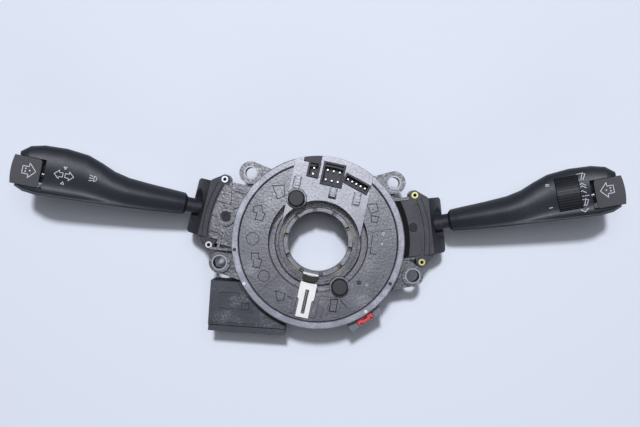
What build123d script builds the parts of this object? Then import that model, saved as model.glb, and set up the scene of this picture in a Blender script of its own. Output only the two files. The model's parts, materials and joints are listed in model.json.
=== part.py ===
"""Combination stalk switch of a car's steering column, as an assembly of its separate pieces.

Units are millimetres. The bore axis of the steering column is Z, and +Z points to the driver.
+X is to the driver's right and +Y is up in the car. The origin is on the bore axis, in the flat
back face that the unit rests on when it lies on a bench.

The left-hand pieces are made in the same way as the right-hand ones, with X counted outwards,
and mirrored at the end.
"""

from build123d import *
from dataclasses import dataclass
from math import acos, atan2, ceil, cos, degrees, hypot, pi, radians, sin, sqrt, tan
import os

os.makedirs("parts", exist_ok=True)

# ---------------------------------------------------------------- fits
slip = 0.25  # gap around a piece that slides or drops into its seat
seat_gap = 0.3  # gap between neighbours that must never rub
pin_play = 0.1  # radial play of a pivot pin

# ---------------------------------------------------------------- column bore and crown tube
bore_radius = 19.25
crown_wall = 2.35
crown_radius = bore_radius + crown_wall
crown_notches = 10
crown_notch_width = 2.6
crown_notch_depth = 4.5
crown_collar = 12.0  # length of the narrow bore at the crown
bore_relief = 1.65  # how much wider the bore is behind that
crown_flange_radius = 25.0
crown_flange_thickness = 1.6

# ---------------------------------------------------------------- heights, from the cassette's seat
carrier_top = 43.4
rotor_floor = carrier_top + 2.4
sleeve_flare_floor = carrier_top + 0.6
sleeve_step_top = carrier_top + 4.6
sleeve_flare_top = carrier_top + 7.6
crown_setback = 1.0  # of the crown below the sleeve's flare
crown_height = sleeve_flare_top - crown_setback
cassette_height = 17.2
rim_top = carrier_top + cassette_height
disc_rise = 0.6  # of the disc above the rim
disc_top = rim_top + disc_rise

# ---------------------------------------------------------------- rings, from the bore outwards
sleeve_wall = 2.4
sleeve_inner_radius = crown_radius + seat_gap
sleeve_radius = sleeve_inner_radius + sleeve_wall
sleeve_step_width = 0.6
flare_width = 3.1
sleeve_flare_radius = sleeve_radius + flare_width
flare_clearance = 1.0
disc_step = 3.6
disc_inner_radius = sleeve_flare_radius + disc_step
disc_band = 18.2
disc_radius = disc_inner_radius + disc_band
rim_gap = 0.4
rim_inner_radius = disc_radius + rim_gap
rim_width = 4.2
cassette_radius = rim_inner_radius + rim_width
deck_lip = 1.8
deck_radius = cassette_radius - deck_lip
drum_setback = 6.8
drum_radius = cassette_radius - drum_setback

# ---------------------------------------------------------------- steering angle sensor, at the back
sensor_lip = 2.5
sensor_radius = drum_radius + sensor_lip
sensor_wall = 2.2
sensor_height = 13.0
sensor_lid_thickness = 2.2
sensor_board_thickness = 1.4
gear_module = 1.25
gear_pressure_angle = 25.0
gear_addendum = 0.8  # of one module
gear_dedendum = 1.05  # of one module
gear_backlash = 0.14
hub_wall = 1.85  # least wall between the sleeve and the roots of the hub gear's teeth
hub_teeth = ceil(2 * ((sleeve_radius + hub_wall) / gear_module + gear_dedendum))
coarse_teeth = 14
fine_teeth = 12
gear_width = 4.4
gear_floor = 4.0  # height of the gears' back faces
coarse_gear_angle = 250.0
fine_gear_tooth_step = 8  # hub teeth between the two measuring gears
gear_post_radius = 1.6

# ---------------------------------------------------------------- carrier
drum_wall = 2.4
drum_inner_radius = sleeve_flare_radius + flare_clearance
drum_inner_wall = 2.0
drum_ribs = 6
rib_thickness = 1.6
carrier_floor = sensor_height + slip
deck_thickness = 2.4
upper_eye_reach = 7.03  # beyond the cassette
upper_eye_angle = 41.87
upper_eye_x = (cassette_radius + upper_eye_reach) * cos(radians(upper_eye_angle))
upper_eye_y = (cassette_radius + upper_eye_reach) * sin(radians(upper_eye_angle))
upper_eye_radius = 7.2
upper_eye_hole = 3.5
upper_eye_top = carrier_top + 6.6
lower_eye_reach = 9.99
lower_eye_angle = -15.736
lower_eye_x = (cassette_radius + lower_eye_reach) * cos(radians(lower_eye_angle))
lower_eye_y = (cassette_radius + lower_eye_reach) * sin(radians(lower_eye_angle))
lower_eye_radius = 6.8
lower_eye_hole = 4.1
lower_eye_top = carrier_top + 3.1
eye_thickness = 12.0
bush_wall = 0.9

# ---------------------------------------------------------------- ribbon cassette and rotor
cassette_wall = 2.6
cassette_floor_thickness = 1.8
rim_thickness = 3.0
disc_thickness = 2.2
skirt_wall = 1.4
rotor_floor_thickness = 1.6
ribbon_width = 7.0
ribbon_thickness = 0.35
ribbon_turns = 4
rotor_turned = -8.5  # how far the rotor stands from its straight-ahead mark
plate_half_width = 24.6
plate_thickness = 2.0
plate_overhang = 5.0  # over the inner edge of the disc
plate_setback = 0.3  # from the edge of the cassette
plate_inner_radius = disc_inner_radius - plate_overhang
plate_outer_radius = cassette_radius - plate_setback
drive_pin_inset = 0.7
drive_pin_circle = 2 * (disc_inner_radius - drive_pin_inset)
drive_pin_radius = 5.2
drive_pin_angle = 38.5  # from the rotor's own Y axis
drive_boss_radius = 6.2
drive_boss_top = disc_top + 1.4
drive_pin_length = 7.4
drive_pin_top = drive_boss_top + drive_pin_length
plug_rise = 4.4  # of the sockets above the disc
plug_block_top = disc_top + plug_rise
plug_block_depth = 11.0
plug_wall = 1.1
plug_floor = 1.6
plug_pin_height = 4.4
plug_pin_size = 0.8

# ---------------------------------------------------------------- lock slider on the rotor
lock_inner_radius = sleeve_flare_radius - 1.8
lock_length = disc_radius - 2.1 - lock_inner_radius
lock_wide = 10.4
lock_narrow = 8.0
lock_thickness = 3.0
lock_nose_length = lock_inner_radius - bore_radius - 0.75
lock_nose_thickness = 2.0
lock_travel = 3.0
lock_slot_width = 2.2
lock_slot_length = lock_length - 6.5

# ---------------------------------------------------------------- switch modules
module_tilt = 10.0
module_face = 20.8  # from the pivot to the outer face
module_top_edge = 17.5
module_bottom_edge = -18.0
module_back = 16.2
module_wall = 2.0
strip_height = 47.5
band_rise = 2.5
module_height = strip_height + band_rise
strip_reach = 12.7  # beyond the cassette
strip_radius = cassette_radius + strip_reach
groove_width = 1.1
band_width = 3.0
lip_width = 0.8
lip_height = 0.6
pivot_depth = 12.5  # below the strip
pivot_height = strip_height - pivot_depth
pivot_pin_radius = 2.0
pivot_head_radius = 2.5
pivot_head_thickness = 1.1
brow_depth = 10.0  # how far inside the face the front starts to fall away
brow_drop = 19.0  # how far it falls
brow_bulge = 1.2  # how far the fall is rounded outwards
cavity_end = 8.0
pocket_clear = 10.15  # round pocket for the dust shield
lug_reach = 4.6
lug_thickness = 3.0
lug_drop = 3.5  # below the strip
lug_floor = strip_height - lug_drop
screw_offset = 3.0
upper_screw_v = 20.3
lower_screw_v = -22.3
screw_shank = 1.5
screw_head = 2.1
screw_head_height = 1.9
screw_length = 14.0
board_thickness = 1.6

# ---------------------------------------------------------------- gimbal
cradle_half = 7.4
cradle_bar = 2.5
cradle_half_depth = 4.0
cross_pin_radius = 1.4
hub_radius = 4.7
arm_radius = 3.0
neck_radius = 4.7
shield_radius = 9.8
shield_wall = 0.9
shield_angle = 50.0
shield_hole_angle = 24.0
tail_radius = 2.8
tail_length = 9.0
plunger_radius = 1.7
plunger_reach = 10.9
detent_step = 9.0
detent_gap = 0.25
turn_room = 14.6  # largest swing of either stalk from its module's own axis
beam_travel = 6.0
window_gap = 1.2

# ---------------------------------------------------------------- stalks
stalk_rise = 14.5  # towards the driver
stalk_wall = 1.8
stalk_seam = 0.12
handle_start = 24.0
hollow_start = 31.0
spigot_radius = 3.8
spigot_end = 62.0
handle_end = 126.0
button_start = 112.6
button_half_width = 8.8
button_end = 129.6
button_travel = 2.0
contact_gap = 4.0  # between the contact block and the button
contact_thickness = 2.0
button_front = 6.2
button_back = -4.6
wheel_start = 90.8
wheel_end = 104.2
wheel_offset = 3.6
wheel_radius = 12.4
wheel_axis_depth = -3.6
wheel_half_angle = 58.0
wheel_ribs = 13
axle_radius = 1.3
wheel_turn = 18.0
wheel_slot_half = 10.4

# stations along a handle, seen from the front: distance from the pivot, upper and lower edge,
# front and back height, and how square the section is
handle_stations = (
    (handle_start, 5.2, -5.2, 5.2, -5.2, 2.0),
    (25.6, 6.9, -7.0, 6.9, -6.8, 2.0),
    (hollow_start, 7.2, -7.8, 7.5, -7.3, 2.0),
    (48.0, 7.9, -9.5, 8.4, -8.2, 2.0),
    (61.0, 8.8, -10.5, 8.7, -8.4, 2.0),
    (70.0, 10.8, -11.0, 8.4, -8.2, 2.2),
    (78.0, 14.2, -11.5, 7.8, -7.9, 2.5),
    (87.0, 17.4, -12.1, 7.0, -7.5, 2.9),
    (100.0, 18.6, -12.8, 6.7, -7.2, 3.2),
    (113.0, 17.8, -13.4, 6.4, -7.0, 3.3),
    (121.0, 15.6, -12.5, 6.1, -6.5, 3.1),
    (handle_end, 11.4, -10.2, 5.4, -5.8, 2.9),
)


@dataclass(frozen=True)
class Side:
    """One switch module and its stalk, with X counted outwards from the bore axis."""

    name: str
    pivot_x: float
    pivot_y: float
    stalk_angle: float  # of the stalk above X, seen from the front
    ring_shift: float  # how far out its concentric steps lie
    rests: tuple  # the stalk's rests, in detent steps from where it stands

    @property
    def pivot_distance(self):
        """Distance from the bore axis to the pivot."""
        return hypot(self.pivot_x, self.pivot_y)


right = Side("right", cassette_radius + 5.7, 13.2, 14.6, 0.0, (-2, -1, 0, 1))
left = Side("left", cassette_radius + 8.2, 14.9, 7.9, 2.7, (-1, 0, 1))


# ================================================================ helpers
def block(x0, x1, y0, y1, z0, z1):
    """A box between two corners."""
    solid = Box(x1 - x0, y1 - y0, z1 - z0, align=(Align.MIN, Align.MIN, Align.MIN))
    return Pos(x0, y0, z0) * solid


def rod(radius, z0, z1, x=0.0, y=0.0):
    """An upright cylinder between two heights."""
    solid = Cylinder(radius, z1 - z0, align=(Align.CENTER, Align.CENTER, Align.MIN))
    return Pos(x, y, z0) * solid


def tube(outer, inner, z0, z1, x=0.0, y=0.0):
    """An upright tube between two heights."""
    return rod(outer, z0, z1, x, y) - rod(inner, z0 - 1, z1 + 1, x, y)


def rod_x(radius, x0, x1):
    """A cylinder along X."""
    return Rot(0, 90, 0) * rod(radius, x0, x1)


def rod_y(radius, y0, y1):
    """A cylinder along Y."""
    return Rot(-90, 0, 0) * rod(radius, y0, y1)


def outline(points, z0, z1):
    """A prism on a closed outline of points."""
    return Pos(0, 0, z0) * extrude(Polygon(*points, align=None), z1 - z0, dir=(0, 0, 1))


def turned(profile_points):
    """A solid of revolution about Z from a closed profile of radius and height points."""
    line = Polyline([(r, 0, z) for r, z in profile_points], close=True)
    return revolve(make_face(line), Axis.Z)


def hull_of_circles(circles, z0, z1):
    """A prism on the tight outline round circles, given as x, y and radius."""
    edges = []
    for x, y, radius in circles:
        edges += (Pos(x, y) * Circle(radius)).edges()
    return Pos(0, 0, z0) * extrude(make_hull(edges), z1 - z0, dir=(0, 0, 1))


def polar(radius, angle):
    """The point at a radius and an angle in degrees."""
    return radius * cos(radians(angle)), radius * sin(radians(angle))


def around(shape, count, start=0.0):
    """Copies of a shape, evenly spaced about Z."""
    return [Rot(0, 0, start + 360.0 * i / count) * shape for i in range(count)]


def in_module(shape, side):
    """Moves a shape from a module's own frame, with its origin under the pivot, to the unit."""
    return Pos(side.pivot_x, side.pivot_y, 0) * Rot(0, 0, module_tilt) * shape


def in_cradle(shape, side):
    """Moves a shape from the cradle's frame, with its origin at the pivot, to the unit."""
    turn = Rot(0, 0, side.stalk_angle)
    return Pos(side.pivot_x, side.pivot_y, pivot_height) * turn * shape


def in_stalk(shape, side):
    """Moves a shape from the stalk's frame, X along the stalk, to the unit."""
    return in_cradle(Rot(0, -stalk_rise, 0) * shape, side)


def along(reach):
    """Turns a reach seen from the front into a length along the risen stalk."""
    return reach / cos(radians(stalk_rise))


def handed(shape, side):
    """Mirrors a finished shape where it belongs to the left side."""
    return mirror(shape, about=Plane.YZ) if side.name == "left" else shape


def in_rotor(shape):
    """Turns a shape from the rotor's own frame to where the rotor stands."""
    return Rot(0, 0, rotor_turned) * shape


def joined(shapes):
    """One shape from several that touch or overlap."""
    whole = shapes[0]
    for piece in shapes[1:]:
        whole = whole + piece
    return whole


def save(name, *solids):
    """Writes one node, from one solid or from several that stay separate."""
    whole = solids[0] if len(solids) == 1 else Compound(children=list(solids))
    export_step(whole, f"parts/{name}.step")


# ================================================================ gears
def gear(teeth, bore, z0, z1, tooth_at):
    """A spur gear with involute flanks, one tooth centred at the given angle."""
    pitch = gear_module * teeth / 2
    base = pitch * cos(radians(gear_pressure_angle))
    tip = pitch + gear_addendum * gear_module
    root = pitch - gear_dedendum * gear_module
    pressure = radians(gear_pressure_angle)
    half_tooth = pi / (2 * teeth) - gear_backlash / (2 * pitch)

    def flank_angle(radius):
        """Half the tooth's angle at a radius."""
        if radius <= base:
            return half_tooth + tan(pressure) - pressure
        local = acos(base / radius)
        return half_tooth + (tan(pressure) - pressure) - (tan(local) - local)

    points = []
    radii = (root, max(base, root + 0.05), (max(base, root) + tip) / 2, tip)
    for tooth in range(teeth):
        centre = radians(tooth_at) + 2 * pi * tooth / teeth
        for radius in radii:
            angle = centre - flank_angle(radius)
            points.append((radius * cos(angle), radius * sin(angle)))
        for radius in reversed(radii):
            angle = centre + flank_angle(radius)
            points.append((radius * cos(angle), radius * sin(angle)))
    return outline(points, z0, z1) - rod(bore, z0 - 1, z1 + 1)


def pitch_radius(teeth):
    """A gear's pitch radius."""
    return gear_module * teeth / 2


hub_pitch_angle = 360.0 / hub_teeth
fine_gear_angle = coarse_gear_angle + fine_gear_tooth_step * hub_pitch_angle
measuring_gears = {
    "coarse_gear": (coarse_teeth, coarse_gear_angle),
    "fine_gear": (fine_teeth, fine_gear_angle),
}


def gear_centre(teeth, angle):
    """Where a measuring gear's axis stands."""
    return polar(pitch_radius(hub_teeth) + pitch_radius(teeth), angle)


def build_gears():
    """The hub gear on the rotor's sleeve and the two measuring gears."""
    top = gear_floor + gear_width
    save("hub_gear", gear(hub_teeth, sleeve_radius, gear_floor, top, coarse_gear_angle))
    for name, (teeth, angle) in measuring_gears.items():
        x, y = gear_centre(teeth, angle)
        gap_towards_hub = angle + 180 + 180 / teeth
        wheel = gear(teeth, gear_post_radius + pin_play, gear_floor, top, gap_towards_hub)
        save(name, Pos(x, y, 0) * wheel)


# ================================================================ sensor housing
sensor_screw_angles = (20.0, 140.0, 200.0)
sensor_screw_circle = sensor_radius - 11.5
sensor_board_z = sensor_height - sensor_wall - sensor_board_thickness
sensor_post_radius = 3.4


def build_sensor():
    """Round housing of the steering angle sensor, with its lid, board and screws."""
    inner = sensor_radius - sensor_wall
    centre_hole = sleeve_radius + seat_gap
    housing = tube(sensor_radius, centre_hole, 0, sensor_height)
    housing -= tube(inner, centre_hole - 1, -1, sensor_height - sensor_wall)
    for teeth, angle in measuring_gears.values():
        x, y = gear_centre(teeth, angle)
        housing += rod(gear_post_radius, gear_floor - 1, sensor_height - 1, x, y)
    for angle in sensor_screw_angles:
        x, y = polar(sensor_screw_circle, angle)
        housing += rod(sensor_post_radius, sensor_lid_thickness, sensor_height - 1, x, y)
        housing -= rod(screw_shank + pin_play, 0, sensor_height + 1, x, y)
    save("sensor_housing", housing)

    lid = tube(inner - slip / 2, crown_radius, 0, sensor_lid_thickness)
    lid -= rod(crown_flange_radius, sensor_lid_thickness - crown_flange_thickness, 9)
    for angle in sensor_screw_angles:
        x, y = polar(sensor_screw_circle, angle)
        lid -= rod(screw_shank + pin_play, -1, 9, x, y)
        lid -= rod(screw_head + slip, -1, 1.4, x, y)
    save("sensor_lid", lid)

    board = tube(inner - 1.0, sensor_radius - 18.5, sensor_board_z, sensor_board_z + sensor_board_thickness)
    board -= block(-60, 60, 12, 60, 0, 20)
    for teeth, angle in measuring_gears.values():
        x, y = gear_centre(teeth, angle)
        board -= rod(gear_post_radius + slip, 0, 20, x, y)
    for angle in sensor_screw_angles:
        x, y = polar(sensor_screw_circle, angle)
        board -= rod(sensor_post_radius + slip, 0, 20, x, y)
    save("sensor_board", board)

    screws = []
    for angle in sensor_screw_angles:
        x, y = polar(sensor_screw_circle, angle)
        head = rod(screw_head, 0.1, 1.4, x, y)
        screws.append(head + rod(screw_shank, 1.4, sensor_height + 7, x, y))
    save("sensor_screws", *screws)


def build_crown_tube():
    """Fixed tube round the column, with the notched crown that the lock slider looks over."""
    top = crown_height
    tube_part = tube(crown_radius, bore_radius, 0, top)
    flange_floor = sensor_lid_thickness - crown_flange_thickness
    tube_part += tube(crown_flange_radius - slip / 2, bore_radius, flange_floor, sensor_lid_thickness)
    tube_part -= rod(bore_radius + bore_relief, -1, top - crown_collar)
    half = crown_notch_width / 2
    notch = block(bore_radius - 2, crown_radius + 2, -half, half, top - crown_notch_depth, top + 1)
    for cut in around(notch, crown_notches, rotor_turned):
        tube_part -= cut
    save("crown_tube", tube_part)


# ================================================================ carrier
cassette_clear = cassette_radius + 0.5
pocket_wall = 2.0


def eye_pairs():
    """Centre, radius, hole and top of the four screw eyes."""
    eyes = []
    for sign in (-1, 1):
        eyes.append((sign * upper_eye_x, upper_eye_y, upper_eye_radius, upper_eye_hole, upper_eye_top))
        eyes.append((sign * lower_eye_x, lower_eye_y, lower_eye_radius, lower_eye_hole, lower_eye_top))
    return eyes


def on_deck(sign, reach, angle, radius):
    """A circle beside the deck's edge, as the root of an ear on either side."""
    x, y = polar(deck_radius + reach, angle)
    return sign * x, y, radius


def lower_ear_outline(sign, grow=0.0):
    """Circles round which a lower ear is drawn, grown where something has to clear it."""
    return [
        (sign * lower_eye_x, lower_eye_y, lower_eye_radius + grow),
        on_deck(sign, -2.76, -29.17, 5.0 + grow),
        on_deck(sign, -5.73, -6.2, 4.0 + grow),
    ]


def carrier_ears():
    """The four screw eyes and the webs that carry them."""
    pieces = []
    for sign in (-1, 1):
        eye = (sign * upper_eye_x, upper_eye_y, upper_eye_radius)
        pieces.append(hull_of_circles([eye, on_deck(sign, -7.4, 47.73, 9.0)], carrier_top - 7.4, carrier_top))
        web = [eye, on_deck(sign, 1.11, 50.2, 3.4)]
        pieces.append(hull_of_circles(web, carrier_top - 3.4, upper_eye_top - 1.2))
        pieces.append(hull_of_circles(lower_ear_outline(sign), carrier_top - 10.4, carrier_top))
    for x, y, radius, _, top in eye_pairs():
        pieces.append(rod(radius, top - eye_thickness, top, x, y))
    return pieces


def module_pocket(side):
    """Tray that a switch module slides into: floor, two walls and the screw pads."""
    floor_z = module_back - slip - pocket_wall
    inner, outer = -21.0, 8.0
    high = module_top_edge + slip
    low = module_bottom_edge - slip
    floor = block(inner, outer, low - pocket_wall, high + pocket_wall, floor_z, module_back - slip)
    floor -= block(1.5, 7.0, -9.0, 9.0, 0, 40)
    top = lug_floor - slip
    walls = block(inner, outer, high, high + pocket_wall, floor_z, top)
    walls += block(inner, outer, low - pocket_wall, low, floor_z, top)
    pads = []
    for v in (upper_screw_v, lower_screw_v):
        pad = rod(screw_shank + 1.8, top - screw_length, top, screw_offset, v)
        pads.append(pad)
    tray = floor + walls + pads[0] + pads[1]
    for v in (upper_screw_v, lower_screw_v):
        tray -= rod(screw_shank + 0.05, top - screw_length - 1, 60, screw_offset, v)
    tray -= block(inner - 1, 30, low, high, module_back - slip, 99)
    return in_module(tray, side)


def module_room(side):
    """The room outside the drum that a switch module takes up, with its slip all round."""
    low, high = module_bottom_edge - slip, module_top_edge + slip
    room = in_module(block(-24, 30, low, high, module_back - slip, 99), side)
    room -= rod(drum_radius, 0, 99)
    return room - rod(deck_radius, carrier_top - deck_thickness, carrier_top)


deck_floor = strip_height + seat_gap
deck_top = deck_floor + 1.6
deck_rib_top = deck_top + 1.8
deck_reach = strip_radius + left.ring_shift - seat_gap
deck_boss = (left.pivot_x - 3.0, left.pivot_y - 2.9)
deck_boss_radius = 6.0
deck_boss_top = deck_rib_top + 0.4
# ribs on the deck: start and end, outwards and up from the pivot
deck_ribs = (
    ((2.0, -4.9), (-8.0, -21.9)),
    ((-5.0, 1.1), (-13.0, 6.1)),
    ((4.0, 7.7), (-5.5, 5.7)),
    ((-4.8, 18.1), (-4.8, 5.1)),
    ((7.4, -1.3), (1.0, -2.7)),
    ((8.0, -11.3), (-1.5, -13.3)),
    ((-1.0, -12.9), (0.6, -22.9)),
    ((-7.0, 14.6), (-15.0, 12.7)),
    ((6.0, -23.3), (-8.0, -23.7)),
)


def rib_between(start, end, z0, z1, thickness):
    """An upright rib from one point to another."""
    (x0, y0), (x1, y1) = start, end
    length = hypot(x1 - x0, y1 - y0)
    angle = degrees(atan2(y1 - y0, x1 - x0))
    rib = block(0, length, -thickness / 2, thickness / 2, z0, z1)
    return Pos(x0, y0, 0) * Rot(0, 0, angle) * rib


def left_deck():
    """Ribbed cover plate over the left module's inner half, with its raised screw boss."""
    low, high = module_bottom_edge - slip - pocket_wall, module_top_edge + slip + pocket_wall
    deck = block(-16, 14, module_bottom_edge + seat_gap, module_top_edge - seat_gap, deck_floor, deck_top)
    deck += block(-16, -1.6, low, high, deck_floor, deck_top)
    deck = in_module(deck, left)
    for start, end in deck_ribs:
        rib = rib_between(start, end, deck_top - 0.4, deck_rib_top, rib_thickness)
        deck += Pos(left.pivot_x, left.pivot_y) * rib
    deck += rod(deck_boss_radius, deck_top - 0.4, deck_boss_top, *deck_boss)
    deck -= rod(3.4, deck_boss_top - 2.9, 60, *deck_boss)
    wall = module_top_edge + slip
    for v0, v1 in ((wall, wall + pocket_wall), (low, low + pocket_wall)):
        deck += in_module(block(-21, -1.6, v0, v1, carrier_top - 6, deck_floor + 0.8), left)
    deck &= rod(deck_reach, 20, 80)
    return handed(deck, left)


def build_carrier():
    """The carrier: drum, deck, screw ears, module pockets and the ribbed left deck."""
    body = rod(drum_radius, carrier_floor, carrier_top)
    body += rod(deck_radius, carrier_top - deck_thickness, carrier_top)
    body = joined([body, *carrier_ears()])
    for side in (left, right):
        body -= handed(module_room(side), side)
        body += handed(module_pocket(side), side)
    body += left_deck()
    body -= rod(cassette_clear, carrier_top, 90)
    body -= rod(drum_inner_radius, 0, 90)
    hollow = tube(
        drum_radius - drum_wall,
        drum_inner_radius + drum_inner_wall,
        0,
        carrier_top - deck_thickness,
    )
    span = drum_radius - drum_wall - drum_inner_radius - drum_inner_wall + 0.8
    start = drum_inner_radius + drum_inner_wall - 0.4
    rib = block(start, start + span, -rib_thickness / 2, rib_thickness / 2, 20, carrier_top)
    for web in around(rib, drum_ribs, 10.0):
        hollow -= web
    for angle in sensor_screw_angles:
        x, y = polar(sensor_screw_circle, angle)
        hollow -= tube(screw_shank + 1.8, screw_shank, 0, 60, x, y)
    body -= hollow
    for x, y, _, hole, _ in eye_pairs():
        body -= rod(hole + bush_wall, 0, 90, x, y)
    save("carrier", body)

    bushes = []
    for x, y, _, hole, top in eye_pairs():
        bushes.append(tube(hole + bush_wall, hole, top - eye_thickness - 0.4, top + 0.4, x, y))
    save("eye_bushes", *bushes)

    head_z = deck_boss_top - 2.9
    head = rod(2.9, head_z, head_z + 1.9, *deck_boss)
    head -= extrude(Pos(*deck_boss, head_z + 0.8) * RegularPolygon(1.5, 6), 3)
    save("deck_screw", handed(head, left))


# ================================================================ cassette and rotor
case_floor = carrier_top
case_wall_inner = cassette_radius - cassette_wall
ribbon_floor = case_floor + cassette_floor_thickness + seat_gap
boss_floor = ribbon_floor + ribbon_width + 1.2
case_top = rim_top - rim_thickness


def build_cassette():
    """The fixed half of the cassette: case, rim and the wound ribbon inside."""
    hole = sleeve_flare_radius + flare_clearance
    case = tube(cassette_radius - 0.3, hole, case_floor, case_top)
    case -= tube(case_wall_inner, hole - 1, case_floor + cassette_floor_thickness, 90)
    save("cassette_case", case)

    rim = tube(cassette_radius, rim_inner_radius, case_top, rim_top)
    rim = chamfer(rim.edges().group_by(Axis.Z)[-1], 0.5)
    hook = block(case_wall_inner - 1.2, case_wall_inner - slip, -2.5, 2.5, case_top - 4, case_top + 0.5)
    for clip in around(hook, 6, 15.0):
        rim += clip
    save("cassette_rim", rim)

    inner = disc_inner_radius + skirt_wall + 1.0
    outer = case_wall_inner - 2.2
    z0 = ribbon_floor
    turns = []
    for i in range(ribbon_turns):
        radius = inner + (outer - inner) * i / (ribbon_turns - 1)
        turns.append(tube(radius, radius - ribbon_thickness, z0, z0 + ribbon_width))
    gap = block(0, 60, -1.5, 1.5, 0, 90)
    joins = []
    for i in range(ribbon_turns - 1):
        r0 = inner + (outer - inner) * i / (ribbon_turns - 1) - ribbon_thickness
        r1 = inner + (outer - inner) * (i + 1) / (ribbon_turns - 1)
        near = 1.5 if i % 2 else -1.5
        joins.append(
            rib_between((r0, near), (r1, near), z0, z0 + ribbon_width, ribbon_thickness)
        )
    save("ribbon_cable", joined([ring - gap for ring in turns] + joins))


def rotor_sleeve():
    """Sleeve round the crown tube, stepped where it flares at the front."""
    first_r, first_z = sleeve_radius + sleeve_step_width, sleeve_step_top
    flare_r, flare_z = sleeve_flare_radius, sleeve_flare_top
    profile = [
        (sleeve_inner_radius, sensor_lid_thickness + 0.6),
        (sleeve_radius, sensor_lid_thickness + 0.6),
        (sleeve_radius, sleeve_flare_floor - 2.6),
        (flare_r, sleeve_flare_floor),
        (flare_r, flare_z - 0.6),
        (flare_r - 0.6, flare_z),
        (first_r, flare_z),
        (first_r, first_z),
        (sleeve_inner_radius, first_z),
    ]
    return turned(profile)


def drive_pin_places():
    """Centres of the two drive pins, in the rotor's own frame."""
    radius = drive_pin_circle / 2
    return [polar(radius, 90 + drive_pin_angle), polar(radius, 270 + drive_pin_angle)]


lock_floor = disc_top + slip
channel_half = lock_wide / 2 + slip
rail_height = lock_floor + lock_thickness - 0.4
lock_slot_outer = -lock_inner_radius - lock_length + 2.4
lock_peg = 1.2


def build_rotor_disc():
    """The big rotor disc with its skirt, drive bosses, sector pads and slider rails."""
    profile = [
        (disc_inner_radius, disc_top),
        (disc_inner_radius, rotor_floor + rotor_floor_thickness),
        (sleeve_flare_radius, rotor_floor + rotor_floor_thickness),
        (sleeve_flare_radius, rotor_floor),
        (disc_inner_radius + skirt_wall, rotor_floor),
        (disc_inner_radius + skirt_wall, disc_top - disc_thickness),
        (disc_radius, disc_top - disc_thickness),
        (disc_radius, disc_top - 0.4),
        (disc_radius - 0.4, disc_top),
    ]
    disc = turned(profile)
    for x, y in drive_pin_places():
        disc += rod(drive_boss_radius, boss_floor, drive_boss_top, x, y)
        disc -= rod(2.2, boss_floor + 2, 90, x, y)
    for angle in (157.5, 232.5, 22.5):
        line = block(disc_inner_radius + 0.8, disc_radius - 0.6, -0.35, 0.35, disc_top - 0.5, 90)
        disc -= Rot(0, 0, angle) * line
    rail_inner = disc_inner_radius + 1.0
    for sign in (-1, 1):
        x0 = sign * (channel_half + 1.2)
        rail = block(x0 - 1.2, x0 + 1.2, -disc_radius + 3.4, -rail_inner, disc_top - 0.5, rail_height)
        disc += rail
    peg_y = lock_slot_outer + slip
    peg_half = lock_slot_width / 2 - slip
    disc += block(-peg_half, peg_half, peg_y, peg_y + lock_peg, disc_top - 0.5, rail_height)
    pocket = block(8.6, 22.0, 3.2 - disc_radius, -disc_inner_radius - 0.5, disc_top - 1.3, 90)
    pocket &= tube(disc_radius - 2.4, disc_inner_radius + 2.6, 0, 99)
    for x, y in drive_pin_places():
        pocket -= rod(drive_boss_radius + 0.6, 0, 99, x, y)
    disc -= pocket
    for x0 in (11.4, 14.6):
        disc += block(x0, x0 + 0.9, 3.8 - disc_radius, -disc_inner_radius - 5.0, disc_top - 1.6, disc_top)
    for plug in plug_blocks(seat_gap):
        disc -= plug
    save("rotor_disc", in_rotor(disc))
    save("rotor_sleeve", rotor_sleeve())


# sockets in the rotor's own frame: centre, width, height and turn
wheel_sockets = (
    (-12.3, disc_radius - 5.6, 7.2, 9.6, 0.0),
    (0.0, disc_radius - 6.2, 13.6, 14.2, 0.0),
    (15.4, disc_radius - 8.6, 17.0, 6.2, -16.5),
)
socket_pin_counts = ((1, 2), (3, 2), (5, 1))  # columns and rows


def plug_limit(inset):
    """Room for the sockets: inside the disc below its face, out over the rim above it."""
    room = rod(disc_radius - 0.8 - inset, 0, disc_top + inset)
    return room + rod(plate_outer_radius - inset, disc_top + inset, 99)


def plug_blocks(grow=0.0):
    """Outer blocks of the sockets, grown where something has to clear them."""
    blocks = []
    z0 = plug_block_top - plug_block_depth
    for x, y, width, height, turn in wheel_sockets:
        half_w, half_h = width / 2 + grow, height / 2 + grow
        body = block(-half_w, half_w, -half_h, half_h, z0 - grow, plug_block_top + grow)
        blocks.append(Pos(x, y, 0) * Rot(0, 0, turn) * body & plug_limit(-grow))
    return blocks


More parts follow.
